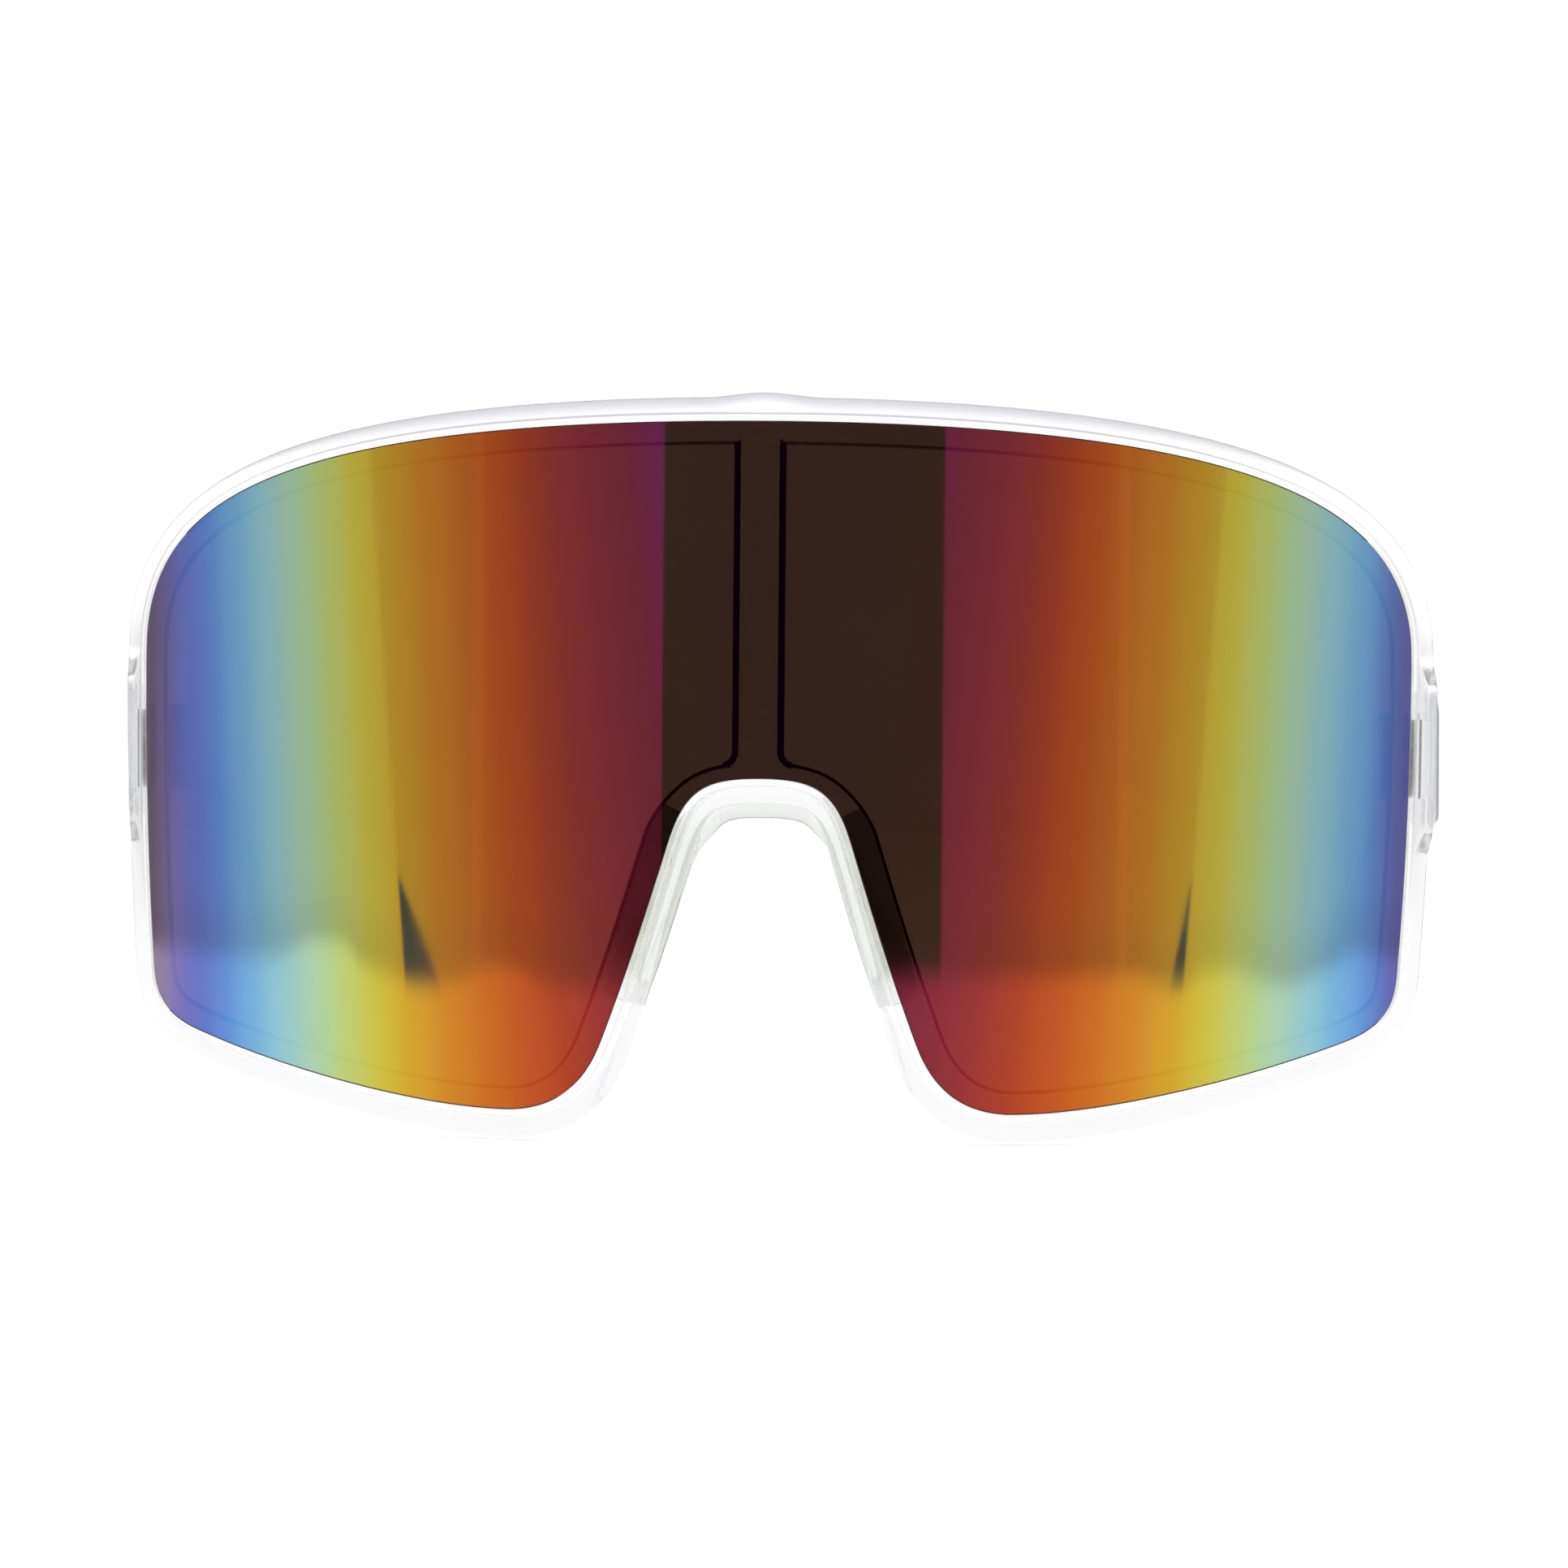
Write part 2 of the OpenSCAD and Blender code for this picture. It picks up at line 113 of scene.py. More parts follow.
def meshFrom(name, points, faces):
    mesh = bpy.data.meshes.new(name)
    mesh.from_pydata([tuple(p) for p in np.array(points) * mm], [], faces)
    mesh.update()
    return mesh


def settle(piece, material=None):       # turns live modifiers into a plain mesh of one material
    bpy.context.view_layer.update()
    graph = bpy.context.evaluated_depsgraph_get()
    solid = bpy.data.meshes.new_from_object(piece.evaluated_get(graph))
    piece.modifiers.clear()
    piece.data = solid
    if material:
        solid.materials.clear()
        solid.materials.append(material)
        solid.polygons.foreach_set("material_index", [0] * len(solid.polygons))
    return piece


def shadeByAngle(piece, degrees=32):
    piece.data.polygons.foreach_set("use_smooth", [True] * len(piece.data.polygons))
    piece.data.set_sharp_from_angle(angle=math.radians(degrees))


def faceOutwards(piece):
    shape = bmesh.new()
    shape.from_mesh(piece.data)
    if shape.calc_volume(signed=True) < 0:
        bmesh.ops.reverse_faces(shape, faces=shape.faces)
    shape.to_mesh(piece.data)
    shape.free()


def cutOrJoin(piece, tool, operation):
    change = piece.modifiers.new("change", "BOOLEAN")
    change.object = tool
    change.operation = operation
    change.solver = "MANIFOLD"
    settle(piece, piece.data.materials[0])
    bpy.data.objects.remove(tool)
    return piece


def soften(piece, width, segments, degrees, clamp):
    bevel = piece.modifiers.new("soften", "BEVEL")
    bevel.width, bevel.segments = width * mm, segments
    bevel.limit_method, bevel.angle_limit = "ANGLE", math.radians(degrees)
    bevel.use_clamp_overlap = clamp
    return settle(piece)


def weldedShape(node):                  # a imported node's mesh with its corners joined
    shape = bmesh.new()
    shape.from_mesh(frame["nodes"][node].data)
    bmesh.ops.remove_doubles(shape, verts=shape.verts, dist=weldDistance)
    return shape


def pieceOf(shape, name):
    mesh = bpy.data.meshes.new(name)
    shape.to_mesh(mesh)
    shape.free()
    return newPiece(name, mesh)


def blockTool(low, high):
    shape = bmesh.new()
    bmesh.ops.create_cube(shape, size=1)
    size = Matrix.Diagonal((*((high - low) * mm), 1))
    shape.transform(Matrix.Translation(Vector((low + high) / 2 * mm)) @ size)
    return pieceOf(shape, "block")


# Swept skins: every station along a route carries reach vectors, and every point of the section takes
# its shares of them. A wrapped skin also lies on the lens's upright cylinder.

reachCount = 6


def skinTree():
    tree = bpy.data.node_groups.new("sweptSkin", "GeometryNodeTree")
    given, made = addSockets(tree, [
        ("Geometry", "Geometry"), ("Stations", "Object"), ("Section", "Object"), ("Station Count", "Int"),
        ("Section Count", "Int"), ("Loop", "Bool"), ("Wrap Radius", "Float"), ("Material", "Material")],
        [("Geometry", "Geometry")])
    value = given.outputs
    cells = calc(tree, "SUBTRACT", value["Station Count"], calc(tree, "SUBTRACT", 1, value["Loop"]))
    grid = addNode(tree, "GeometryNodeMeshGrid", {
        "Size X": cells, "Vertices X": calc(tree, "ADD", cells, 1),
        "Size Y": value["Section Count"], "Vertices Y": calc(tree, "ADD", value["Section Count"], 1)})
    position = addNode(tree, "GeometryNodeInputPosition").outputs[0]
    place = addNode(tree, "ShaderNodeSeparateXYZ", {0: position})
    indexes = []
    for axis, size, count in ((0, cells, "Station Count"), (1, value["Section Count"], "Section Count")):
        fromEdge = calc(tree, "MULTIPLY_ADD", size, 0.5, place.outputs[axis])
        indexes.append(calc(tree, "MODULO", calc(tree, "ROUND", fromEdge), value[count]))
    sources = [addNode(tree, "GeometryNodeObjectInfo", {"Object": value[name]}).outputs["Geometry"]
               for name in ("Stations", "Section")]

    def sampled(which, kind, field):
        return addNode(tree, "GeometryNodeSampleIndex", {
            "Geometry": sources[which], "Value": field, "Index": indexes[which]}, data_type=kind).outputs[0]

    def named(which, kind, name):
        field = addNode(tree, "GeometryNodeInputNamedAttribute", {"Name": name}, data_type=kind).outputs[0]
        return sampled(which, kind, field)

    point = sampled(0, "FLOAT_VECTOR", position)
    for k in range(reachCount):
        reach = addNode(tree, "ShaderNodeVectorMath", {
            0: named(0, "FLOAT_VECTOR", f"reach{k}"), "Scale": named(1, "FLOAT", f"share{k}")},
            operation="SCALE").outputs[0]
        point = vectorCalc(tree, "ADD", point, reach)
    # Depth of the wrapped sheet at this point's own x, on its own radius
    across = addNode(tree, "ShaderNodeSeparateXYZ", {0: point}).outputs[0]
    radius = calc(tree, "SUBTRACT", value["Wrap Radius"], named(1, "FLOAT", "inset"))
    squares = [calc(tree, "MULTIPLY", term, term) for term in (radius, across)]
    rest = calc(tree, "MAXIMUM", calc(tree, "SUBTRACT", *squares), 0)
    depth = calc(tree, "SUBTRACT", value["Wrap Radius"], calc(tree, "SQRT", rest))
    hugged = calc(tree, "MULTIPLY", depth, named(1, "FLOAT", "hug"))
    hugged = addNode(tree, "ShaderNodeCombineXYZ", {"Y": hugged}).outputs[0]
    moved = addNode(tree, "GeometryNodeSetPosition", {
        "Geometry": grid.outputs["Mesh"], "Position": vectorCalc(tree, "ADD", point, hugged)})
    merged = addNode(tree, "GeometryNodeMergeByDistance", {
        "Geometry": moved.outputs[0], "Distance": weldDistance})
    whole = addNode(tree, "GeometryNodeRealizeInstances", {"Geometry": merged.outputs[0]})
    dressed = addNode(tree, "GeometryNodeSetMaterial", {
        "Geometry": whole.outputs[0], "Material": value["Material"]})
    tree.links.new(dressed.outputs[0], made.inputs[0])
    return tree


def carrier(name, points, vectors=None, numbers=None):     # loose points that carry named values
    mesh = meshFrom(name, points, [])
    for key, rows in (vectors or {}).items():
        mesh.attributes.new(key, "FLOAT_VECTOR", "POINT").data.foreach_set("vector", np.ravel(rows) * mm)
    for key, (row, unit) in (numbers or {}).items():
        mesh.attributes.new(key, "FLOAT", "POINT").data.foreach_set("value", np.ravel(row) * unit)
    return newPiece(name, mesh)


def sweptSkin(name, bases, reaches, section, material, loop, wrapRadius=0.0):
    # section rows: the shares of each reach, then hug and inset
    empty = np.zeros((len(bases), 3))
    vectors = {f"reach{k}": reaches[k] if k < len(reaches) else empty for k in range(reachCount)}
    table = np.zeros((len(section), reachCount + 2))
    for j, (shares, hug, inset) in enumerate(section):
        table[j, :len(shares)] = shares
        table[j, reachCount:] = hug, inset
    numbers = {f"share{k}": (table[:, k], 1) for k in range(reachCount)}
    numbers["hug"] = (table[:, reachCount], 1)
    numbers["inset"] = (table[:, reachCount + 1], mm)
    stations = carrier(name + "Stations", bases, vectors=vectors)
    ring = carrier(name + "Section", np.zeros((len(section), 3)), numbers=numbers)
    piece = newPiece(name, bpy.data.meshes.new(name))
    skin = piece.modifiers.new("skin", "NODES")
    skin.node_group = sweptSkinTree
    values = {
        "Stations": stations, "Section": ring, "Station Count": len(bases), "Section Count": len(section),
        "Loop": loop, "Wrap Radius": wrapRadius * mm, "Material": material}
    for item in sweptSkinTree.interface.items_tree:
        if item.in_out == "INPUT" and item.name in values:
            skin[item.identifier] = values[item.name]
    settle(piece, material)
    bpy.data.objects.remove(stations)
    bpy.data.objects.remove(ring)
    faceOutwards(piece)
    return piece


sweptSkinTree = skinTree()
print("stage: swept skin tree ready")


# The lens's outline as packed, seen from the front: x and height above the table

lensLow, lensHigh = boxOf("shield_lens")
lens = dict(
    radius=88, thickness=2, edge=0.08,      # edge: the small chamfer round both faces
    strip=1.0,                              # width of the strips that bend round the cylinder
    outlineStep=0.4, fineSteps=12,
    faceReach=0.05, cutReach=1e-5, leastTurn=0.12)

apexY, lobeZ = lensLow[1:]
middleZ = (lobeZ + lensHigh[2]) / 2


def frontLoop():
    shape = weldedShape("shield_lens")
    axisY = (apexY + lens["radius"]) * mm
    onFront = {v for v in shape.verts if abs(
        math.hypot(v.co.x, v.co.y - axisY) - lens["radius"] * mm) < lens["faceReach"] * mm}
    nextTo = {}
    for edge in shape.edges:
        a, b = edge.verts
        if a not in onFront or b not in onFront:
            continue
        inFront = [all(v in onFront for v in face.verts) for face in edge.link_faces]
        if inFront.count(True) == 1:
            nextTo.setdefault(a, []).append(b)
            nextTo.setdefault(b, []).append(a)
    start = max(nextTo, key=lambda v: (v.co.z, -abs(v.co.x)))
    loop, last, here = [start], start, max(nextTo[start], key=lambda v: v.co.x)
    while here is not start:
        loop.append(here)
        last, here = here, next(v for v in nextTo[here] if v is not last)
    points = np.array([(v.co.x, v.co.z) for v in loop]) / mm
    shape.free()
    return points


def cornersOnly(points):                    # drops points that lie on a straight run
    before, after = points - np.roll(points, 1, 0), np.roll(points, -1, 0) - points
    turn = np.degrees(np.arctan2(before[:, 0] * after[:, 1] - before[:, 1] * after[:, 0],
                                 (before * after).sum(1)))
    return points[np.abs(turn) > lens["leastTurn"]]


def evenlyAlong(points, step):              # a closed smooth curve through the points
    p0, p1, p2, p3 = (np.roll(points, k, 0) for k in (1, 0, -1, -2))
    fine = []
    for t in np.linspace(0, 1, lens["fineSteps"], endpoint=False):
        fine.append(0.5 * (2 * p1 + (p2 - p0) * t + (2 * p0 - 5 * p1 + 4 * p2 - p3) * t ** 2
                           + (3 * p1 - p0 - 3 * p2 + p3) * t ** 3))
    fine = np.stack(fine, 1).reshape(-1, 2)
    closed = np.vstack([fine, fine[:1]])
    run = np.concatenate([[0], np.cumsum(np.hypot(*np.diff(closed, axis=0).T))])
    places = np.linspace(0, run[-1], int(run[-1] / step), endpoint=False)
    return np.column_stack([np.interp(places, run, closed[:, k]) for k in (0, 1)])


def awayFrom(points):                       # unit normals that point away from the lens
    along = np.roll(points, -1, 0) - np.roll(points, 1, 0)
    away = np.column_stack([-along[:, 1], along[:, 0]])
    away = away / np.linalg.norm(away, axis=1, keepdims=True)
    return -away if away[np.argmax(points[:, 0])][0] < 0 else away


outline = evenlyAlong(cornersOnly(frontLoop()), lens["outlineStep"])
away = awayFrom(outline)
print("stage: outline has", len(outline), "stations")


def sheetDepth(x, radius):                  # depth behind the middle of the lens's front
    return lens["radius"] - np.sqrt(radius ** 2 - np.asarray(x) ** 2)


# Front frame: lip, lens seat, flange, flared wall and end pieces in one moulding

rim = dict(
    lip=0.75, lensGap=0.04, seatGap=0.05, proud=0.2, lipRound=0.2, innerRound=0.12,
    spread=3.0, footSpread=3.4, flankSpread=2.65, depth=6.6, wallIn=0.6, backRound=0.8, bellyPower=1.9,
    flange=2.3, noseFlange=2.9, archFlange=1.8, flangeThick=1.5, flangeRound=0.55,
    lobeX=27.4, lobeBlend=12, footBlend=14, archZ=35.6, archClear=1, shoulderDrop=7,
    hingeUp=38.6, hingeBack=11.5, endHeight=15.6, endBlend=4, endSpread=1, endThick=3.5,
    postWidth=5.6, postRadius=1.1, postRound=0.72, postShift=-0.35, postClear=0.1,
    padReach=6.5, padHeight=0.5,            # the low rise in the middle of the rim's top
    seatSteps=4, roundSteps=5, wallSteps=14, backSteps=6, bendSteps=8, postSegments=4, sharpAngle=60,
    # Which inner edges get painted shade where they are seen behind the lens, less so at the top
    edgeFrom=1.2, edgeFacing=0.985, topEdge=0.5, topReach=5, seatReach=0.15, seatFacing=0.5)

seatInset = lens["thickness"] + rim["seatGap"]
stationX, stationUp = outline[:, 0], outline[:, 1] - lobeZ
halfWidth = lensHigh[0]
sideDepth = float(sheetDepth(halfWidth, lens["radius"]))
overArch = stationUp > rim["archZ"] + rim["archClear"]
nosePart = np.where(overArch, 0, smoothStep((rim["lobeX"] - np.abs(stationX)) / rim["lobeBlend"]))
footPart = 1 - smoothStep(stationUp / rim["footBlend"])
endPart = np.where(np.abs(stationX) < halfWidth / 2, 0, smoothStep(
    (rim["endHeight"] / 2 + rim["endBlend"] - np.abs(stationUp - rim["hingeUp"])) / rim["endBlend"]))
flangeWidth = mix(rim["flange"], mix(rim["archFlange"], rim["noseFlange"], smoothStep(
    (rim["archZ"] - stationUp) / rim["shoulderDrop"])), nosePart)
spreadWidth = mix(mix(rim["spread"], rim["flankSpread"], nosePart), rim["footSpread"], footPart)
spreadWidth += rim["endSpread"] * endPart
spreadWidth += rim["padHeight"] * overArch * smoothStep(1 - np.abs(stationX) / rim["padReach"])
wallShift = (rim["wallIn"] + rim["spread"] + rim["endSpread"] - rim["endThick"]) * endPart
backDepth = mix(sheetDepth(stationX, lens["radius"]) + rim["depth"], sideDepth + rim["hingeBack"], endPart)

# Beside the nose the lens gets painted shade, standing for the soft wings in shade behind it, from below the
# arch's shoulders to the lobes
bond = dict(top=31.7, foot=11, rise=8)
noseShadeShare = (stationUp < bond["top"]) * (np.abs(stationX) < rim["lobeX"])
noseShadeShare = noseShadeShare * smoothStep((stationUp - bond["foot"]) / bond["rise"])


# Lens: two cylinder faces and a chamfered edge. The front carries the mirror coat.

def lensMesh():
    # Flat first: a band over the frame's flange and the window inside it, then bent strip by strip
    chamfer = lens["edge"]
    shape = bmesh.new()
    # Each face of the band keeps its share of the painted shade beside the nose
    bond = shape.faces.layers.float.new("bond")
    edge, seat = ([shape.verts.new((x, 0, z)) for x, z in outline - away * inset]
                  for inset in (chamfer, flangeWidth[:, None]))
    for k in range(len(outline)):
        face = shape.faces.new([edge[k - 1], edge[k], seat[k], seat[k - 1]])
        face[bond] = noseShadeShare[k]
    shape.faces.new(seat)
    bmesh.ops.recalc_face_normals(shape, faces=shape.faces)
    for x in np.arange(-halfWidth, halfWidth, lens["strip"]):
        bmesh.ops.bisect_plane(shape, geom=shape.verts[:] + shape.edges[:] + shape.faces[:],
                               plane_co=(x, 0, 0), plane_no=(1, 0, 0), dist=lens["cutReach"])
    shape.verts.index_update()
    flat = np.array([(v.co.x, v.co.z) for v in shape.verts])
    strips = [[v.index for v in face.verts] for face in shape.faces]
    noseShades = [face[bond] for face in shape.faces]
    nextTo = {}
    for edge in shape.edges:
        if edge.is_boundary:
            loop = edge.link_loops[0]
            nextTo[loop.vert.index] = loop.link_loop_next.vert.index
    order = [next(iter(nextTo))]
    while nextTo[order[-1]] != order[0]:
        order.append(nextTo[order[-1]])
    shape.free()
    wide = flat[order] + awayFrom(flat[order]) * chamfer
    outer, back = lens["radius"], lens["radius"] - lens["thickness"]

    def placed(points, radius, shift):
        return np.column_stack([points[:, 0], apexY + sheetDepth(points[:, 0], radius) + shift, points[:, 1]])

    count = len(flat)
    points = np.vstack([placed(flat, outer, 0), placed(flat, back, 0),
                        placed(wide, outer, chamfer), placed(wide, back, -chamfer)])
    rings = [order, [2 * count + k for k in range(len(order))],
             [2 * count + len(order) + k for k in range(len(order))], [count + k for k in order]]
    faces = [list(face) for face in strips] + [[count + v for v in reversed(face)] for face in strips]
    coated = len(strips)
    for a, b in zip(rings, rings[1:]):
        for k in range(len(order)):
            n = (k + 1) % len(order)
            faces.append([a[n], a[k], b[k], b[n]])
    mesh = meshFrom("mirrorLens", points, faces)
    noseShades = noseShades + noseShades + [0] * (len(faces) - 2 * coated)
    mesh.attributes.new("bond", "FLOAT", "FACE").data.foreach_set("value", noseShades)
    return mesh, coated


def makeLens(coatMaterial, smokeMaterial):
    mesh, coated = lensMesh()
    piece = newPiece("mirrorLens", mesh)
    mesh.materials.append(coatMaterial)
    mesh.materials.append(smokeMaterial)
    mesh.polygons.foreach_set("material_index", [0 if k < coated else 1 for k in range(len(mesh.polygons))])
    mesh.polygons.foreach_set("use_smooth", [True] * len(mesh.polygons))
    if mesh.polygons[0].normal.y > 0:
        mesh.flip_normals()
    # True cylinder normals on both faces, so that reflections run without facets
    axisY = (apexY + lens["radius"]) * mm
    normals = []
    for polygon in mesh.polygons:
        sign = 1 if polygon.index < coated else -1 if polygon.index < 2 * coated else 0
        for k in polygon.vertices:
            spot = mesh.vertices[k].co
            normals.append((Vector((spot.x, spot.y - axisY, 0)) * sign).normalized())
    mesh.normals_split_custom_set(normals)
    return piece


# The rim's section, swept round the outline

def rimSection():
    # Shares: outward, flange, spread, depth, back edge, shift of the end pieces' inner wall
    gap, lip, proud = rim["lensGap"], rim["lip"], rim["proud"]
    back, wall, thick = rim["backRound"], -rim["wallIn"], rim["flangeThick"]
    rows = []

    def onFace(o, y):
        rows.append(((o, 0, 0, y, 0), 1, 0))

    def onSeat(o, y, flange=0):
        rows.append(((o, flange, 0, y, 0), 1, seatInset))

    def onBack(o, y, spread=0):
        rows.append(((o, 0, spread, y, 1, 1 - spread), 0, 0))

    onSeat(gap, 0)
    inner, outer, edge, steps = rim["innerRound"], rim["lipRound"], rim["flangeRound"], rim["roundSteps"]
    for o, y in arc((gap + inner, inner - proud), inner, 180, 270, rim["seatSteps"]):
        onFace(o, y)
    for o, y in arc((lip - outer, outer - proud), outer, 270, 360, steps):
        onFace(o, y)
    # The outer wall flares quickly and then straightens
    for t in np.linspace(0, 1, rim["wallSteps"])[1:-1]:
        f = 1 - (1 - t) ** rim["bellyPower"]
        rows.append((((1 - f) * lip, 0, f, (1 - t) * (outer - proud) - t * back, t), 1 - t, 0))
    for o, y in arc((-back, -back), back, 0, 90, rim["backSteps"]):
        onBack(o, y, 1)
    for o, y in arc((wall + back / 2, -back / 2), back / 2, 90, 180, steps):
        onBack(o, y)
    onSeat(wall, thick)
    for o, y in arc((edge, thick - edge), edge, 90, 180, steps):
        onSeat(o, y, -1)
    onSeat(0, 0, -1)
    onSeat(wall, 0)
    return rows


def postTool():
    foot = lobeZ + rim["archZ"] + rim["archFlange"]
    head = lobeZ + (lensHigh[2] - lensLow[2]) - rim["flange"]
    half, bend = rim["postWidth"] / 2, rim["postRadius"]
    side = [(half + bend, foot - rim["archFlange"] / 2)]
    side += arc((half + bend, foot + bend), bend, 270, 180, rim["bendSteps"])
    side += [(half, head + rim["flange"] / 2)]
    ring = [(x + rim["postShift"], z) for x, z in side + [(-x, z) for x, z in reversed(side)]]
    front = apexY + float(sheetDepth(half + bend, lens["radius"] - seatInset))
    back = front + rim["flangeThick"]
    count = len(ring)
    points = [(x, front, z) for x, z in ring] + [(x, back, z) for x, z in ring]
    faces = [list(range(count)), list(range(2 * count - 1, count - 1, -1))]
    faces += [[k, count + k, count + (k + 1) % count, (k + 1) % count] for k in range(count)]
    piece = newPiece("post", meshFrom("post", points, faces))
    faceOutwards(piece)
    return soften(piece, rim["postRound"], rim["postSegments"], rim["sharpAngle"], False)


def pocketTool(node, way):                      # room for a hinge leaf, a little larger than the leaf
    low, high = boxOf(node)
    fit, over = 0.03, 1.0
    low, high = low - fit, high + fit
    if high[0] > 0:
        low[0] = min(low[0], halfWidth - rim["wallIn"] - over)
    else:
        high[0] = max(high[0], rim["wallIn"] + over - halfWidth)
    if way > 0:
        low[1] -= over
    else:
        high[1] += over
    return blockTool(low, high)


def makeFrontFrame(material, shadedEdgeMaterial):
    upright = np.zeros((len(outline), 3))
    outward = upright.copy()
    outward[:, 0], outward[:, 2] = away[:, 0], away[:, 1]
    deep = upright.copy()
    deep[:, 1] = 1
    bases = np.column_stack([stationX, np.full(len(outline), apexY), outline[:, 1]])
    reaches = [outward, outward * flangeWidth[:, None], outward * spreadWidth[:, None], deep,
               deep * backDepth[:, None], outward * wallShift[:, None]]
    piece = sweptSkin("clearFrontFrame", bases, reaches, rimSection(), material, True, lens["radius"])
    cutOrJoin(piece, postTool(), "UNION")
    for side in ("left", "right"):
        cutOrJoin(piece, pocketTool(side + "_front_hinge_leaf", -1), "DIFFERENCE")
    shadeByAngle(piece)
    dressInnerEdges(piece, shadedEdgeMaterial)
    return piece


def dressInnerEdges(piece, material):
    # The lens seat's side, the flange's edge and the post's rounded sides are matt; the flange's edge and the
    # post's sides also carry painted shade for where they are seen behind the lens
    faces = piece.data.polygons
    places = np.array([face.center for face in faces]) / mm
    centres = places[:, [0, 2]]
    nearest = [np.argmin(((outline - centre) ** 2).sum(1)) for centre in centres]
    inside = ((outline[nearest] - centres) * away[nearest]).sum(1)
    # How far each face looks along the sheet's own normal, 0 for one that stands on it
    toAxis = np.column_stack([-places[:, 0], apexY + lens["radius"] - places[:, 1]])
    facing = (np.array([face.normal for face in faces])[:, :2] * toAxis).sum(1) / np.hypot(*toAxis.T)
    onEdge = (inside > rim["edgeFrom"]) & (np.abs(facing) < rim["edgeFacing"])
    onSeat = (np.abs(inside + rim["lensGap"]) < rim["seatReach"]) & (np.abs(facing) < rim["seatFacing"])
    fromPost = np.abs(centres[:, 0] - rim["postShift"]) - rim["postWidth"] / 2
    onEdge &= fromPost > -rim["postRound"]
    # Strength of the painted shade on each edge face
    atTop = (centres[:, 1] > lensHigh[2] - rim["topReach"]) & (fromPost > rim["postClear"])
    strength = onEdge * np.where(atTop, rim["topEdge"], 1)
    piece.data.attributes.new("innerEdge", "FLOAT", "FACE").data.foreach_set("value", strength)
    piece.data.materials.append(material)
    faces.foreach_set("material_index", (onEdge | onSeat).astype(int))


# Soft nose piece: a saddle that lines the nose gap behind the rim

nose = dict(
    thick=1.7, rootThick=2.9, archDepth=3.0, wingDepth=9.0, footDepth=2.4, spread=3.4, archDrop=1.4,
    proud=0.15, edge=0.6, archShare=0.6, peakShare=0.66, leanLate=2.8, leanPower=1.6, lobeClear=3,
    capSteps=5, capThin=0.6, cornerSteps=4, faceSteps=8, sharpAngle=50)


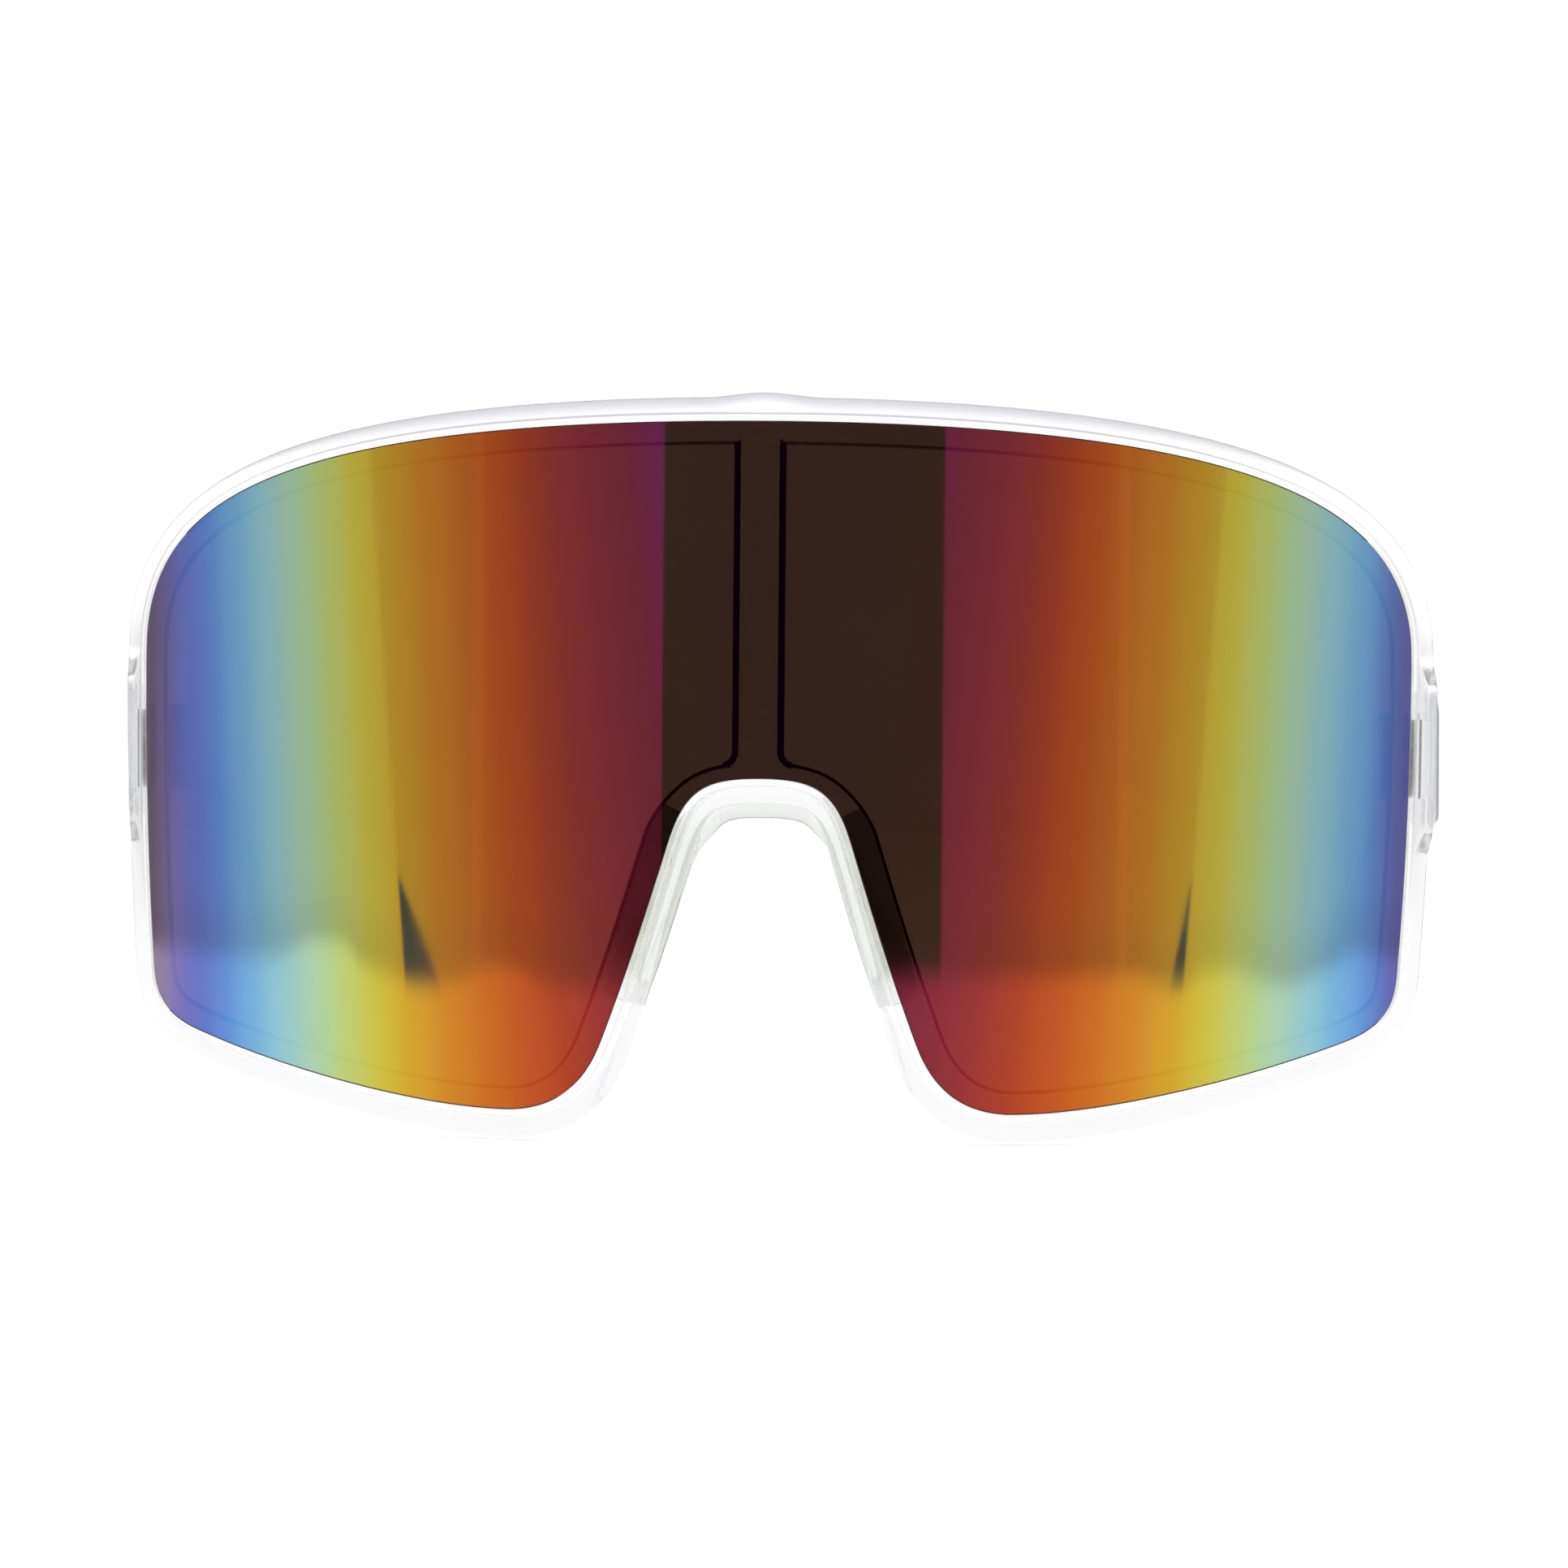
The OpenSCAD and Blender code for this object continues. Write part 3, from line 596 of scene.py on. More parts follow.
def makeNosePiece(material):
    # Stations from low on one flank over the arch to the other flank
    inGap = (np.abs(stationX) < rim["lobeX"] - nose["lobeClear"]) & ~overArch
    inGap &= stationUp > boxOf("nose_piece")[0][2] - lobeZ + nose["edge"]
    picks = np.where(inGap)[0]
    start = picks[np.argmax(np.diff(np.concatenate([picks, [picks[0] + len(outline)]])))]
    order = [(start + 1 + k) % len(outline) for k in range(len(outline))]
    order = [k for k in order if inGap[k]]
    spots, normals = outline[order], away[order]
    if spots[0][0] > spots[-1][0]:
        spots, normals = spots[::-1], normals[::-1]
    run = np.concatenate([[0], np.cumsum(np.hypot(*np.diff(spots, axis=0).T))])
    fromTop = np.abs(run - run[-1] / 2)
    shoulder = fromTop[np.argmin(np.abs(spots[:, 1] - lobeZ - rim["archZ"] + rim["shoulderDrop"]))]
    v = np.interp(fromTop, [0, shoulder, run[-1] / 2], [0, nose["archShare"], 1])
    wing = np.sin(np.pi * v ** (math.log(0.5) / math.log(nose["peakShare"])))
    deep = mix(mix(nose["archDepth"], nose["footDepth"], v), nose["wingDepth"], wing)
    lean = mix(nose["archDrop"], -nose["spread"], smoothStep(v) ** nose["leanLate"]) * deep
    lean = lean / mix(nose["archDepth"], nose["wingDepth"], wing)
    byFoot = 1 - smoothStep((spots[:, 1] - lobeZ) / rim["footBlend"])
    reach = mix(rim["flankSpread"], rim["footSpread"], byFoot) + nose["proud"]
    back = apexY + sheetDepth(spots[:, 0], lens["radius"]) + rim["depth"] + rim["seatGap"]
    centreLean = 0.5 ** nose["leanPower"]
    outward = np.column_stack([normals[:, 0], np.zeros(len(spots)), normals[:, 1]])
    down = np.array([0, 1.0, 0])
    bases = np.column_stack([spots[:, 0], back, spots[:, 1]]) + down * deep[:, None] / 2
    bases = bases + outward * (reach - nose["thick"] / 2 + lean * centreLean)[:, None]
    root = outward * ((nose["thick"] - nose["rootThick"]) * wing)[:, None]
    table = [bases, outward * nose["thick"] / 2, outward * lean[:, None], down * deep[:, None] / 2,
             np.tile(down, (len(spots), 1)), outward, root]
    # Rounded ends: a few shrinking rings past the first and the last station
    edge = nose["edge"]
    angles = np.radians(np.linspace(0, 90, nose["capSteps"] + 1))[1:]
    sizes = 1 - edge / nose["thick"] * 2 * (1 - np.cos(angles)) * nose["capThin"]
    sizes[-1] = 0
    for end, second in ((0, 1), (-1, -2)):
        x, z = spots[end] - spots[second]
        onward = np.array([x, 0, z]) / math.hypot(x, z)
        caps = [table[0][end] + np.outer(np.sin(angles), onward) * edge]
        caps += [np.outer(sizes, column[end]) for column in table[1:]]
        table = [np.vstack([column, cap] if end else [cap[::-1], column]) for cap, column in zip(caps, table)]
    rows = []

    def leanAt(s):                              # s runs from -1 in front to 1 at the back
        return ((s + 1) / 2) ** nose["leanPower"] - centreLean

    def rootAt(sideSign, s):
        return (1 - s) / 2 if sideSign < 0 else 0

    for sideSign, frontSign, angle in ((1, -1, -90), (1, 1, 0), (-1, 1, 90), (-1, -1, 180)):
        for a in np.radians(np.linspace(angle, angle + 90, nose["cornerSteps"] + 1)):
            shares = (sideSign, leanAt(frontSign), frontSign, edge * (math.sin(a) - frontSign),
                      edge * (math.cos(a) - sideSign), rootAt(sideSign, frontSign))
            rows.append((shares, 0, 0))
        if frontSign != sideSign:
            for s in np.linspace(-1, 1, nose["faceSteps"] + 1)[1:-1] * sideSign:
                rows.append(((sideSign, leanAt(s), s, 0, 0, rootAt(sideSign, s)), 0, 0))
    piece = sweptSkin("softNosePiece", table[0], table[1:], rows, material, False)
    shadeByAngle(piece, nose["sharpAngle"])
    return piece


# Temples: tall at the hinge, slim in the middle, fuller behind the ear

arm = dict(
    rootThick=3.5, waistThick=2.6, waistHeight=5.0, earThick=3.2, earHeight=7.0, rootHeight=15.6,
    straight=64, fall=2.5, bendRadius=42, bendAngle=42, bowOut=6.37, tipIn=3.6, edge=1.1,
    squareRun=12, waistShare=0.42, earFrom=0.6, earTo=0.8, capThin=0.4, roundMost=0.48,
    rootBevel=0.3, leafDepth=1.0, stations=150, cornerSteps=6, capSteps=12)


def armRoute():
    hingeZ = frame["joints"][0]["pos_m"][2] / mm
    rootY = boxOf("left_temple")[0][1]
    rootX = boxOf("left_temple_hinge_leaf")[1][0] - arm["leafDepth"] + arm["rootThick"] / 2
    fall, bend = math.radians(arm["fall"]), math.radians(arm["bendAngle"])
    straight, radius, endAngle = arm["straight"], arm["bendRadius"], fall + bend
    bendEnd = straight + radius * bend
    tipZ = hingeZ - straight * math.sin(fall) - radius * (math.cos(fall) - math.cos(endAngle))
    tipRound = arm["earHeight"] / 2
    whole = bendEnd + (tipZ - tipRound) / math.sin(endAngle)

    def at(s):
        ahead, past = min(s, straight), max(0, s - bendEnd)
        slope = fall + bend * min(1, max(0, (s - straight) / (bendEnd - straight)))
        y = rootY + ahead * math.cos(fall) + past * math.cos(endAngle)
        y += radius * (math.sin(slope) - math.sin(fall))
        z = hingeZ - ahead * math.sin(fall) - past * math.sin(endAngle)
        z -= radius * (math.cos(fall) - math.cos(slope))
        t = s / (whole + tipRound)
        x = rootX + 3 * (1 - t) * t * arm["bowOut"] - t ** 3 * arm["tipIn"]
        t = s / whole
        slim = smoothStep(t / arm["waistShare"])
        ear = smoothStep((t - arm["earFrom"]) / (arm["earTo"] - arm["earFrom"]))
        thick = mix(mix(arm["rootThick"], arm["waistThick"], slim), arm["earThick"], ear)
        high = mix(mix(arm["rootHeight"], arm["waistHeight"], slim), arm["earHeight"], ear)
        return np.array([x, y, z]), slope * smoothStep(s / arm["squareRun"]), thick, high

    return at, whole, tipRound


def makeTemple(name, side, material):
    at, whole, tipRound = armRoute()
    # Distance along, shares of the thickness and of the height, and the bevel taken off both
    rows = [(0, share, share, arm["rootBevel"]) for share in (0, 1)]
    rows += [(s, 1, 1, 0) for s in np.linspace(arm["rootBevel"], whole, arm["stations"])]
    for a in np.radians(np.linspace(0, 90, arm["capSteps"] + 1))[1:]:
        size = math.cos(a) if a < math.pi / 2 - 1e-6 else 0
        rows.append((whole + tipRound * math.sin(a), mix(arm["capThin"], 1, size) if size else 0, size, 0))
    bases, sideHalf, sideRound, upHalf, upRound = [], [], [], [], []
    for s, thin, low, trim in rows:
        spot, slope, thick, high = at(s)
        thick, high = (thick - 2 * trim) * thin, (high - 2 * trim) * low
        corner = min(arm["edge"] * thin, high * arm["roundMost"])
        upWay = np.array([0, math.sin(slope), math.cos(slope)])
        bases.append(spot * [side, 1, 1])
        sideHalf.append(np.array([side * thick / 2, 0, 0]))
        sideRound.append(np.array([side * corner, 0, 0]))
        upHalf.append(upWay * high / 2)
        upRound.append(upWay * corner)
    section = []
    for quarter, (sx, sy) in enumerate(((1, 1), (-1, 1), (-1, -1), (1, -1))):
        for a in np.radians(np.linspace(90 * quarter, 90 * quarter + 90, arm["cornerSteps"] + 1)):
            section.append(((sx, math.cos(a) - sx, sy, math.sin(a) - sy), 0, 0))
    piece = sweptSkin(name, np.array(bases), [np.array(r) for r in (sideHalf, sideRound, upHalf, upRound)],
                      section, material, False)
    cutOrJoin(piece, pocketTool(("left" if side > 0 else "right") + "_temple_hinge_leaf", 1), "DIFFERENCE")
    shadeByAngle(piece)
    return piece


# Hinge leaves and screws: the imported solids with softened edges

hardware = dict(softening=0.09, segments=3, sharpAngle=40, flatAngle=0.5)


def softenedCopy(node, name, material):
    shape = weldedShape(node)
    bmesh.ops.dissolve_limit(shape, angle_limit=math.radians(hardware["flatAngle"]),
                             verts=shape.verts, edges=shape.edges)
    piece = pieceOf(shape, name)
    piece.data.materials.append(material)
    soften(piece, hardware["softening"], hardware["segments"], hardware["sharpAngle"], True)
    faceOutwards(piece)
    shadeByAngle(piece)
    return piece


# Materials

def link(tree, source, target):
    tree.links.new(source, target)


def band(tree, value, low, high):
    ranged = addNode(tree, "ShaderNodeMapRange", {0: value, 1: low, 2: high}, interpolation_type="SMOOTHSTEP")
    return ranged.outputs[0]


def mixColours(tree, factor, first, second):
    node = addNode(tree, "ShaderNodeMix", {0: factor}, data_type="RGBA")
    for socket, colour in ((node.inputs[6], first), (node.inputs[7], second)):
        if isinstance(colour, bpy.types.NodeSocket):
            link(tree, colour, socket)
        else:
            socket.default_value = (*colour, 1)
    return node.outputs[2]


# Fine use marks: how rough the surface is from place to place, and a low relief

wear = dict(
    detail=4.0, breakUp=0.62, fineDetail=2.0, fineScale=14, fineShare=0.35,
    low=0.38, high=0.66, depth=0.0004)


def handlingGroup():
    group = bpy.data.node_groups.new("handlingMarks", "ShaderNodeTree")
    given, made = addSockets(group, [
        ("Place", "Vector"), ("Scale", "Float"), ("Smooth", "Float"), ("Rough", "Float")],
        [("Roughness", "Float"), ("Height", "Float"), ("Mask", "Float")])
    place, scale, smooth, rough = list(given.outputs)[:4]
    cloud = addNode(group, "ShaderNodeTexNoise", {
        "Vector": place, "Scale": scale, "Detail": wear["detail"],
        "Roughness": wear["breakUp"]}).outputs["Fac"]
    fine = addNode(group, "ShaderNodeTexNoise", {
        "Vector": place, "Scale": calc(group, "MULTIPLY", scale, wear["fineScale"]),
        "Detail": wear["fineDetail"]}).outputs["Fac"]
    mask = addNode(group, "ShaderNodeMapRange", {0: cloud, 1: wear["low"], 2: wear["high"]}).outputs[0]
    roughness = addNode(group, "ShaderNodeMapRange", {0: mask, 3: smooth, 4: rough}).outputs[0]
    height = calc(group, "ADD", calc(group, "MULTIPLY", fine, wear["fineShare"]), cloud)
    for name, source in (("Mask", mask), ("Roughness", roughness), ("Height", height)):
        link(group, source, made.inputs[name])
    return group


marks = handlingGroup()


def newMaterial(name, look):
    # Starts a material with its use marks, and hands back its parts and the marks' mask
    material = bpy.data.materials.new(name)
    material.use_nodes = True
    tree = material.node_tree
    shader = next(n for n in tree.nodes if n.type == "BSDF_PRINCIPLED")
    spot = addNode(tree, "ShaderNodeTexCoord").outputs["Object"]
    place = spot
    if "stretch" in look:
        place = addNode(tree, "ShaderNodeMapping", {"Vector": spot, "Scale": look["stretch"]}).outputs[0]
    smooth, rough = look["roughness"]
    group = addNode(tree, "ShaderNodeGroup", node_tree=marks)
    for key, value in (("Scale", look["grain"]), ("Smooth", smooth), ("Rough", rough)):
        group.inputs[key].default_value = value
    link(tree, place, group.inputs["Place"])
    link(tree, group.outputs["Roughness"], shader.inputs["Roughness"])
    bump = addNode(tree, "ShaderNodeBump", {
        "Height": group.outputs["Height"], "Strength": look.get("relief", 0.0), "Distance": wear["depth"]})
    link(tree, bump.outputs[0], shader.inputs["Normal"])
    return material, tree, shader, spot, group.outputs["Mask"]


coat = dict(
    middle=3.2, riseShift=0.055, midShift=0.12, midReach=35, opacity=0.8, grain=60, roughness=(0.022, 0.045),
    # Painted shade beside the nose, where the soft wings behind the lens lie in shade
    bondTint=(0.52, 0.45, 0.55),
    edgeTint=(0.9, 0.62, 0.68), edgeFrom=66, edgeTo=71.5,      # painted shade: the coat's reflection darker towards the edge on the wearer's left
    # Distance from the middle in mm, and the colour that the coat reflects there
    bands=((0, (0.15, 0.002, 0.16)), (10.5, (0.19, 0.002, 0.11)), (12.5, (0.21, 0.003, 0.075)),
           (14.5, (0.215, 0.006, 0.05)), (17, (0.25, 0.01, 0.047)), (20, (0.3, 0.015, 0.04)),
           (24, (0.4, 0.03, 0.025)), (28, (0.535, 0.062, 0.013)),
           (32, (0.65, 0.118, 0.009)), (36, (0.725, 0.21, 0.012)), (40, (0.76, 0.335, 0.02)),
           (44, (0.757, 0.5, 0.035)), (48, (0.68, 0.68, 0.11)), (52, (0.545, 0.77, 0.33)),
           (56, (0.41, 0.74, 0.63)), (60, (0.25, 0.61, 0.84)), (64, (0.135, 0.4, 0.86)),
           (67, (0.11, 0.25, 0.76)), (70, (0.14, 0.18, 0.64)), (73, (0.25, 0.2, 0.5)),
           (76, (0.3, 0.24, 0.3))))


def mirrorCoat():
    material, tree, shader, spot, _ = newMaterial("mirrorCoat", coat)
    parts = addNode(tree, "ShaderNodeSeparateXYZ", {0: spot})
    across, up = [calc(tree, "DIVIDE", parts.outputs[k], mm) for k in (0, 2)]
    aside = calc(tree, "ABSOLUTE", calc(tree, "SUBTRACT", across, coat["middle"]))
    rise = calc(tree, "SUBTRACT", up, float(middleZ))
    # The bands lean outwards as they rise, most of all near the middle
    near = addNode(tree, "ShaderNodeMapRange", {
        0: aside, 1: 0.0, 2: coat["midReach"], 3: coat["riseShift"] + coat["midShift"], 4: coat["riseShift"]})
    outwards = calc(tree, "SUBTRACT", aside, calc(tree, "MULTIPLY", rise, near.outputs[0]))
    reach = coat["bands"][-1][0]
    ramp = addNode(tree, "ShaderNodeValToRGB", {0: calc(tree, "DIVIDE", outwards, reach)})
    bands = ramp.color_ramp
    bands.interpolation = "CARDINAL"
    while len(bands.elements) < len(coat["bands"]):
        bands.elements.new(0.5)
    for element, (place, colour) in zip(bands.elements, coat["bands"]):
        element.position = place / reach
        element.color = (*colour, 1)
    # Painted shade beside the nose, where the soft wings behind the lens lie in shade
    bonded = addNode(tree, "ShaderNodeAttribute", attribute_name="bond").outputs["Fac"]
    darker = mixColours(tree, bonded, (1, 1, 1), coat["bondTint"])
    # Painted shade towards the edge on the wearer's left, standing for a darker surround in the reflection
    edge = band(tree, parts.outputs[0], coat["edgeFrom"] * mm, coat["edgeTo"] * mm)
    edgeShaded = mixColours(tree, edge, (1, 1, 1), coat["edgeTint"])
    tint = vectorCalc(tree, "MULTIPLY", vectorCalc(tree, "MULTIPLY", ramp.outputs[0], darker), edgeShaded)
    link(tree, tint, shader.inputs["Base Color"])
    shader.inputs["Metallic"].default_value = 1.0
    shader.inputs["Alpha"].default_value = coat["opacity"]
    return material


smoke = dict(
    # The darkest colour is painted shade beside the nose, where the soft wings behind the lens lie in shade
    colour=(0.0282, 0.0081, 0.0025), cloud=(0.02538, 0.00729, 0.00225), bonded=(0.0025, 0.0009, 0.0002),
    ior=1.01, gloss=0.6, glossRoughness=0.04, grain=40, roughness=(0.02, 0.05))


def smokeBody():
    material, tree, shader, _, mask = newMaterial("smokeBody", smoke)
    clouded = mixColours(tree, mask, smoke["colour"], smoke["cloud"])
    # Painted shade beside the nose: the smoke is darker where the wings behind lie in shade
    bonded = addNode(tree, "ShaderNodeAttribute", attribute_name="bond").outputs["Fac"]
    link(tree, mixColours(tree, bonded, clouded, smoke["bonded"]), shader.inputs["Base Color"])
    shader.inputs["Transmission Weight"].default_value = 1.0
    shader.inputs["IOR"].default_value = smoke["ior"]
    shader.inputs["Coat Weight"].default_value = smoke["gloss"]
    shader.inputs["Coat Roughness"].default_value = smoke["glossRoughness"]
    return material


def letThrough(tree, shader, look):
    # Light that has met as many surfaces as bounces says leaves straight
    path = addNode(tree, "ShaderNodeLightPath")
    link(tree, calc(tree, "LESS_THAN", path.outputs["Ray Depth"], look["bounces"]), shader.inputs["Alpha"])
    shader.inputs["IOR"].default_value = look["ior"]
    shader.inputs["Transmission Weight"].default_value = look["transmission"]


def region(tree, spot, heights, asides):    # 1 within soft limits of height and of distance from the middle
    parts = addNode(tree, "ShaderNodeSeparateXYZ", {0: spot})
    height = calc(tree, "SUBTRACT", parts.outputs[2], float(lobeZ) * mm)
    aside = calc(tree, "ABSOLUTE", parts.outputs[0])
    share = 1
    for value, limits in ((height, heights), (aside, asides)):
        for none, full in limits:
            share = calc(tree, "MULTIPLY", share, band(tree, value, none * mm, full * mm))
    return share


plastic = dict(
    colour=(0.995, 0.995, 1), cloud=(0.98, 0.982, 0.992), transmission=0.96, ior=1.28, bounces=2,
    grain=90, roughness=(0.12, 0.17),
    # Painted shade: walls that face up and are seen at a slant are painted lilac grey
    slant=(0.44, 0.44, 0.5), slantFrom=0.3, slantTo=0.7, upFrom=0.6, upTo=0.92,
    # The flanks of the nose gap take on the tone of the soft wings behind them
    flank=(0.9, 0.915, 0.885), flankUp=((13, 16), (33, 30)), flankAside=((6.5, 8.5), (21, 18)))
# The temples are the same moulding with a little more body
templePlastic = dict(
    plastic, colour=(0.93, 0.933, 0.955), cloud=(0.87, 0.875, 0.905), transmission=0.75, ior=1.4, bounces=5)
# Its inner edges are matt, and get painted shade where they are seen behind the lens
shadedEdgePlastic = dict(plastic, roughness=(0.35, 0.5), behind=(0.016, 0.01, 0.006))


def clearPlastic(name, look):
    material, tree, shader, spot, mask = newMaterial(name, look)
    shade = mixColours(tree, mask, look["colour"], look["cloud"])
    # Painted shade on walls that face up, where they are seen at a slant
    normal = addNode(tree, "ShaderNodeTexCoord").outputs["Normal"]
    upwards = addNode(tree, "ShaderNodeSeparateXYZ", {0: normal}).outputs[2]
    slanted = addNode(tree, "ShaderNodeLayerWeight", {"Blend": 0.5}).outputs["Facing"]
    top = calc(tree, "MULTIPLY", band(tree, upwards, look["upFrom"], look["upTo"]),
               band(tree, slanted, look["slantFrom"], look["slantTo"]))
    shade = mixColours(tree, top, shade, look["slant"])
    flank = region(tree, spot, look["flankUp"], look["flankAside"])
    link(tree, mixColours(tree, flank, shade, look["flank"]), shader.inputs["Base Color"])
    letThrough(tree, shader, look)
    return material


def mattEdge(look):
    material, tree, shader, _, mask = newMaterial("mattEdge", look)
    shade = mixColours(tree, mask, look["colour"], look["cloud"])
    path = addNode(tree, "ShaderNodeLightPath")
    # Painted shade: the edge is painted dark where it is seen through the lens
    behind = calc(tree, "GREATER_THAN", path.outputs["Transparent Depth"], 0.5)
    strength = addNode(tree, "ShaderNodeAttribute", attribute_name="innerEdge").outputs["Fac"]
    dark = mixColours(tree, calc(tree, "MULTIPLY", behind, strength), shade, look["behind"])
    link(tree, dark, shader.inputs["Base Color"])
    return material


silicone = dict(
    colour=(0.985, 0.998, 0.985), cloud=(0.97, 0.985, 0.97), transmission=0.8, ior=1.12, bounces=4,
    grain=120, roughness=(0.2, 0.3),
    # The deep wings look greyer than the shallow arch
    wing=(0.8, 0.83, 0.775), wingUp=((13, 15.5),), wingAside=((6, 8.5),))


def softClear(look):
    material, tree, shader, spot, mask = newMaterial("softClear", look)
    shade = mixColours(tree, mask, look["colour"], look["cloud"])
    wing = region(tree, spot, look["wingUp"], look["wingAside"])
    link(tree, mixColours(tree, wing, shade, look["wing"]), shader.inputs["Base Color"])
    letThrough(tree, shader, look)
    return material


leafMetal = dict(
    colour=(0.9, 0.9, 0.92), cloud=(0.72, 0.72, 0.736), grain=300, stretch=(1, 1, 12),
    roughness=(0.3, 0.45), relief=0.2)
screwMetal = dict(
    colour=(0.5, 0.5, 0.52), cloud=(0.4, 0.4, 0.416), grain=300, roughness=(0.15, 0.3), relief=0.2)


def brushedMetal(name, look):
    material, tree, shader, _, mask = newMaterial(name, look)
    link(tree, mixColours(tree, mask, look["colour"], look["cloud"]), shader.inputs["Base Color"])
    shader.inputs["Metallic"].default_value = 1.0
    return material


# Pieces on their bodies

coatMaterial, smokeMaterial = mirrorCoat(), smokeBody()
frameMaterial, noseMaterial = clearPlastic("frostedClear", plastic), softClear(silicone)
templeMaterial, shadedEdgeMaterial = clearPlastic("frostedClearTemple", templePlastic), mattEdge(shadedEdgePlastic)
leafMaterial, screwMaterial = brushedMetal("hingeMetal", leafMetal), brushedMetal("screwMetal", screwMetal)

made = [
    (makeLens(coatMaterial, smokeMaterial), "front", "shield_lens", "mirror_lens"),
    (makeFrontFrame(frameMaterial, shadedEdgeMaterial), "front", "front_frame", "clear_frame"),
    (makeNosePiece(noseMaterial), "front", "nose_piece", "nose_silicone")]
print("stage: lens, frame and nose piece made")
for side, sign in (("left", 1), ("right", -1)):
    temple = makeTemple(side + "ClearTemple", sign, templeMaterial)
    made.append((temple, side + "_arm", side + "_temple", "clear_frame"))
    for node, body, slot, material in (
            ("_front_hinge_leaf", "front", "hinge_metal", leafMaterial),
            ("_temple_hinge_leaf", side + "_arm", "hinge_metal", leafMaterial),
            ("_hinge_screw", "front", "screw_metal", screwMaterial)):
        name = side + "".join(word.capitalize() for word in node.split("_"))
        made.append((softenedCopy(side + node, name, material), body, side + node, slot))
print("stage: temples and hinges made")
for piece, body, node, slot in made:
    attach(piece, body)
    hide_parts(node)


# Floor, light and camera

stage = dict(half=3.0, lift=-0.0001, colour=0.88, glow=0.42, glowThrough=0.18)


def makeFloor():
    half, z = stage["half"], stage["lift"]
    mesh = bpy.data.meshes.new("floor")
    corners = [(x * half, y * half, z) for x, y in ((-1, -1), (1, -1), (1, 1), (-1, 1))]
    mesh.from_pydata(corners, [], [(0, 1, 2, 3)])
    floor = newPiece("floor", mesh)
    material = bpy.data.materials.new("paleFloor")
    material.use_nodes = True
    tree = material.node_tree
    tree.nodes.clear()
    path = addNode(tree, "ShaderNodeLightPath")
    matt = addNode(tree, "ShaderNodeBsdfDiffuse", {"Color": (stage["colour"],) * 3 + (1,)})
    level = calc(tree, "MULTIPLY_ADD", path.outputs["Is Transmission Ray"],
                 stage["glowThrough"] - stage["glow"], stage["glow"])
    glow = addNode(tree, "ShaderNodeEmission", {"Strength": level})
    seen = calc(tree, "MAXIMUM", path.outputs["Is Camera Ray"], path.outputs["Is Transmission Ray"])
    both = addNode(tree, "ShaderNodeAddShader", {0: matt.outputs[0], 1: glow.outputs[0]})
    lit = addNode(tree, "ShaderNodeMixShader", {0: seen, 1: matt.outputs[0], 2: both.outputs[0]})
    clear = addNode(tree, "ShaderNodeBsdfTransparent")
    mirrored = calc(tree, "GREATER_THAN", path.outputs["Is Glossy Ray"], path.outputs["Is Transmission Ray"])
    whole = addNode(tree, "ShaderNodeMixShader", {0: mirrored, 1: lit.outputs[0], 2: clear.outputs[0]})
    addNode(tree, "ShaderNodeOutputMaterial", {"Surface": whole.outputs[0]})
    mesh.materials.append(material)


studio = dict(
    white=1.0, fill=0.92, floorZone=1.0, innerWall=0.61, outerWall=0.71, gap=0.02,
    gapFrom=-17.4, gapTo=25.1, gapSoft=0.25, seamMiddle=3.0, seamAngle=64.7, seamLean=1.17, seamSoft=0.7,
    wedgeTip=-1.15, wedgeWidths=(4.7, 1.8), wedgeSoft=(-0.2, 0.2), wedgeSide=(-0.3, 0.1),
    wedgeColour=(0, 0.08, 1.5),
    endFrom=112, endTo=121, endLevel=0.5, strips=(-46.7, 54.1), stripWidth=1.2, stripLift=0.1,
    # The walls' wavy hem: turn from the camera and height, in degrees
    hem=((-180, -2.1), (-120, -2.0), (-99, -2.12), (-91, -2.15), (-80, -2.03), (-73.5, -1.93), (-68, -2.18),
         (-61, -2.35), (-55, -2.45), (-47, -2.3), (-42, -2.24), (-37, -2.4), (-31, -2.47), (-23, -2.5),
         (27, -2.32), (43, -2.31), (56, -2.28), (62.5, -2.4), (65.5, -2.38), (71, -2.2), (78, -2.28),
         (85, -2.36), (90, -2.28), (96, -2.15), (102, -2.0), (112, -2.05), (180, -2.1)),
    hemLift=3, hemSoft=0.2, hemShade=0.13, hemShadeTo=0.9)


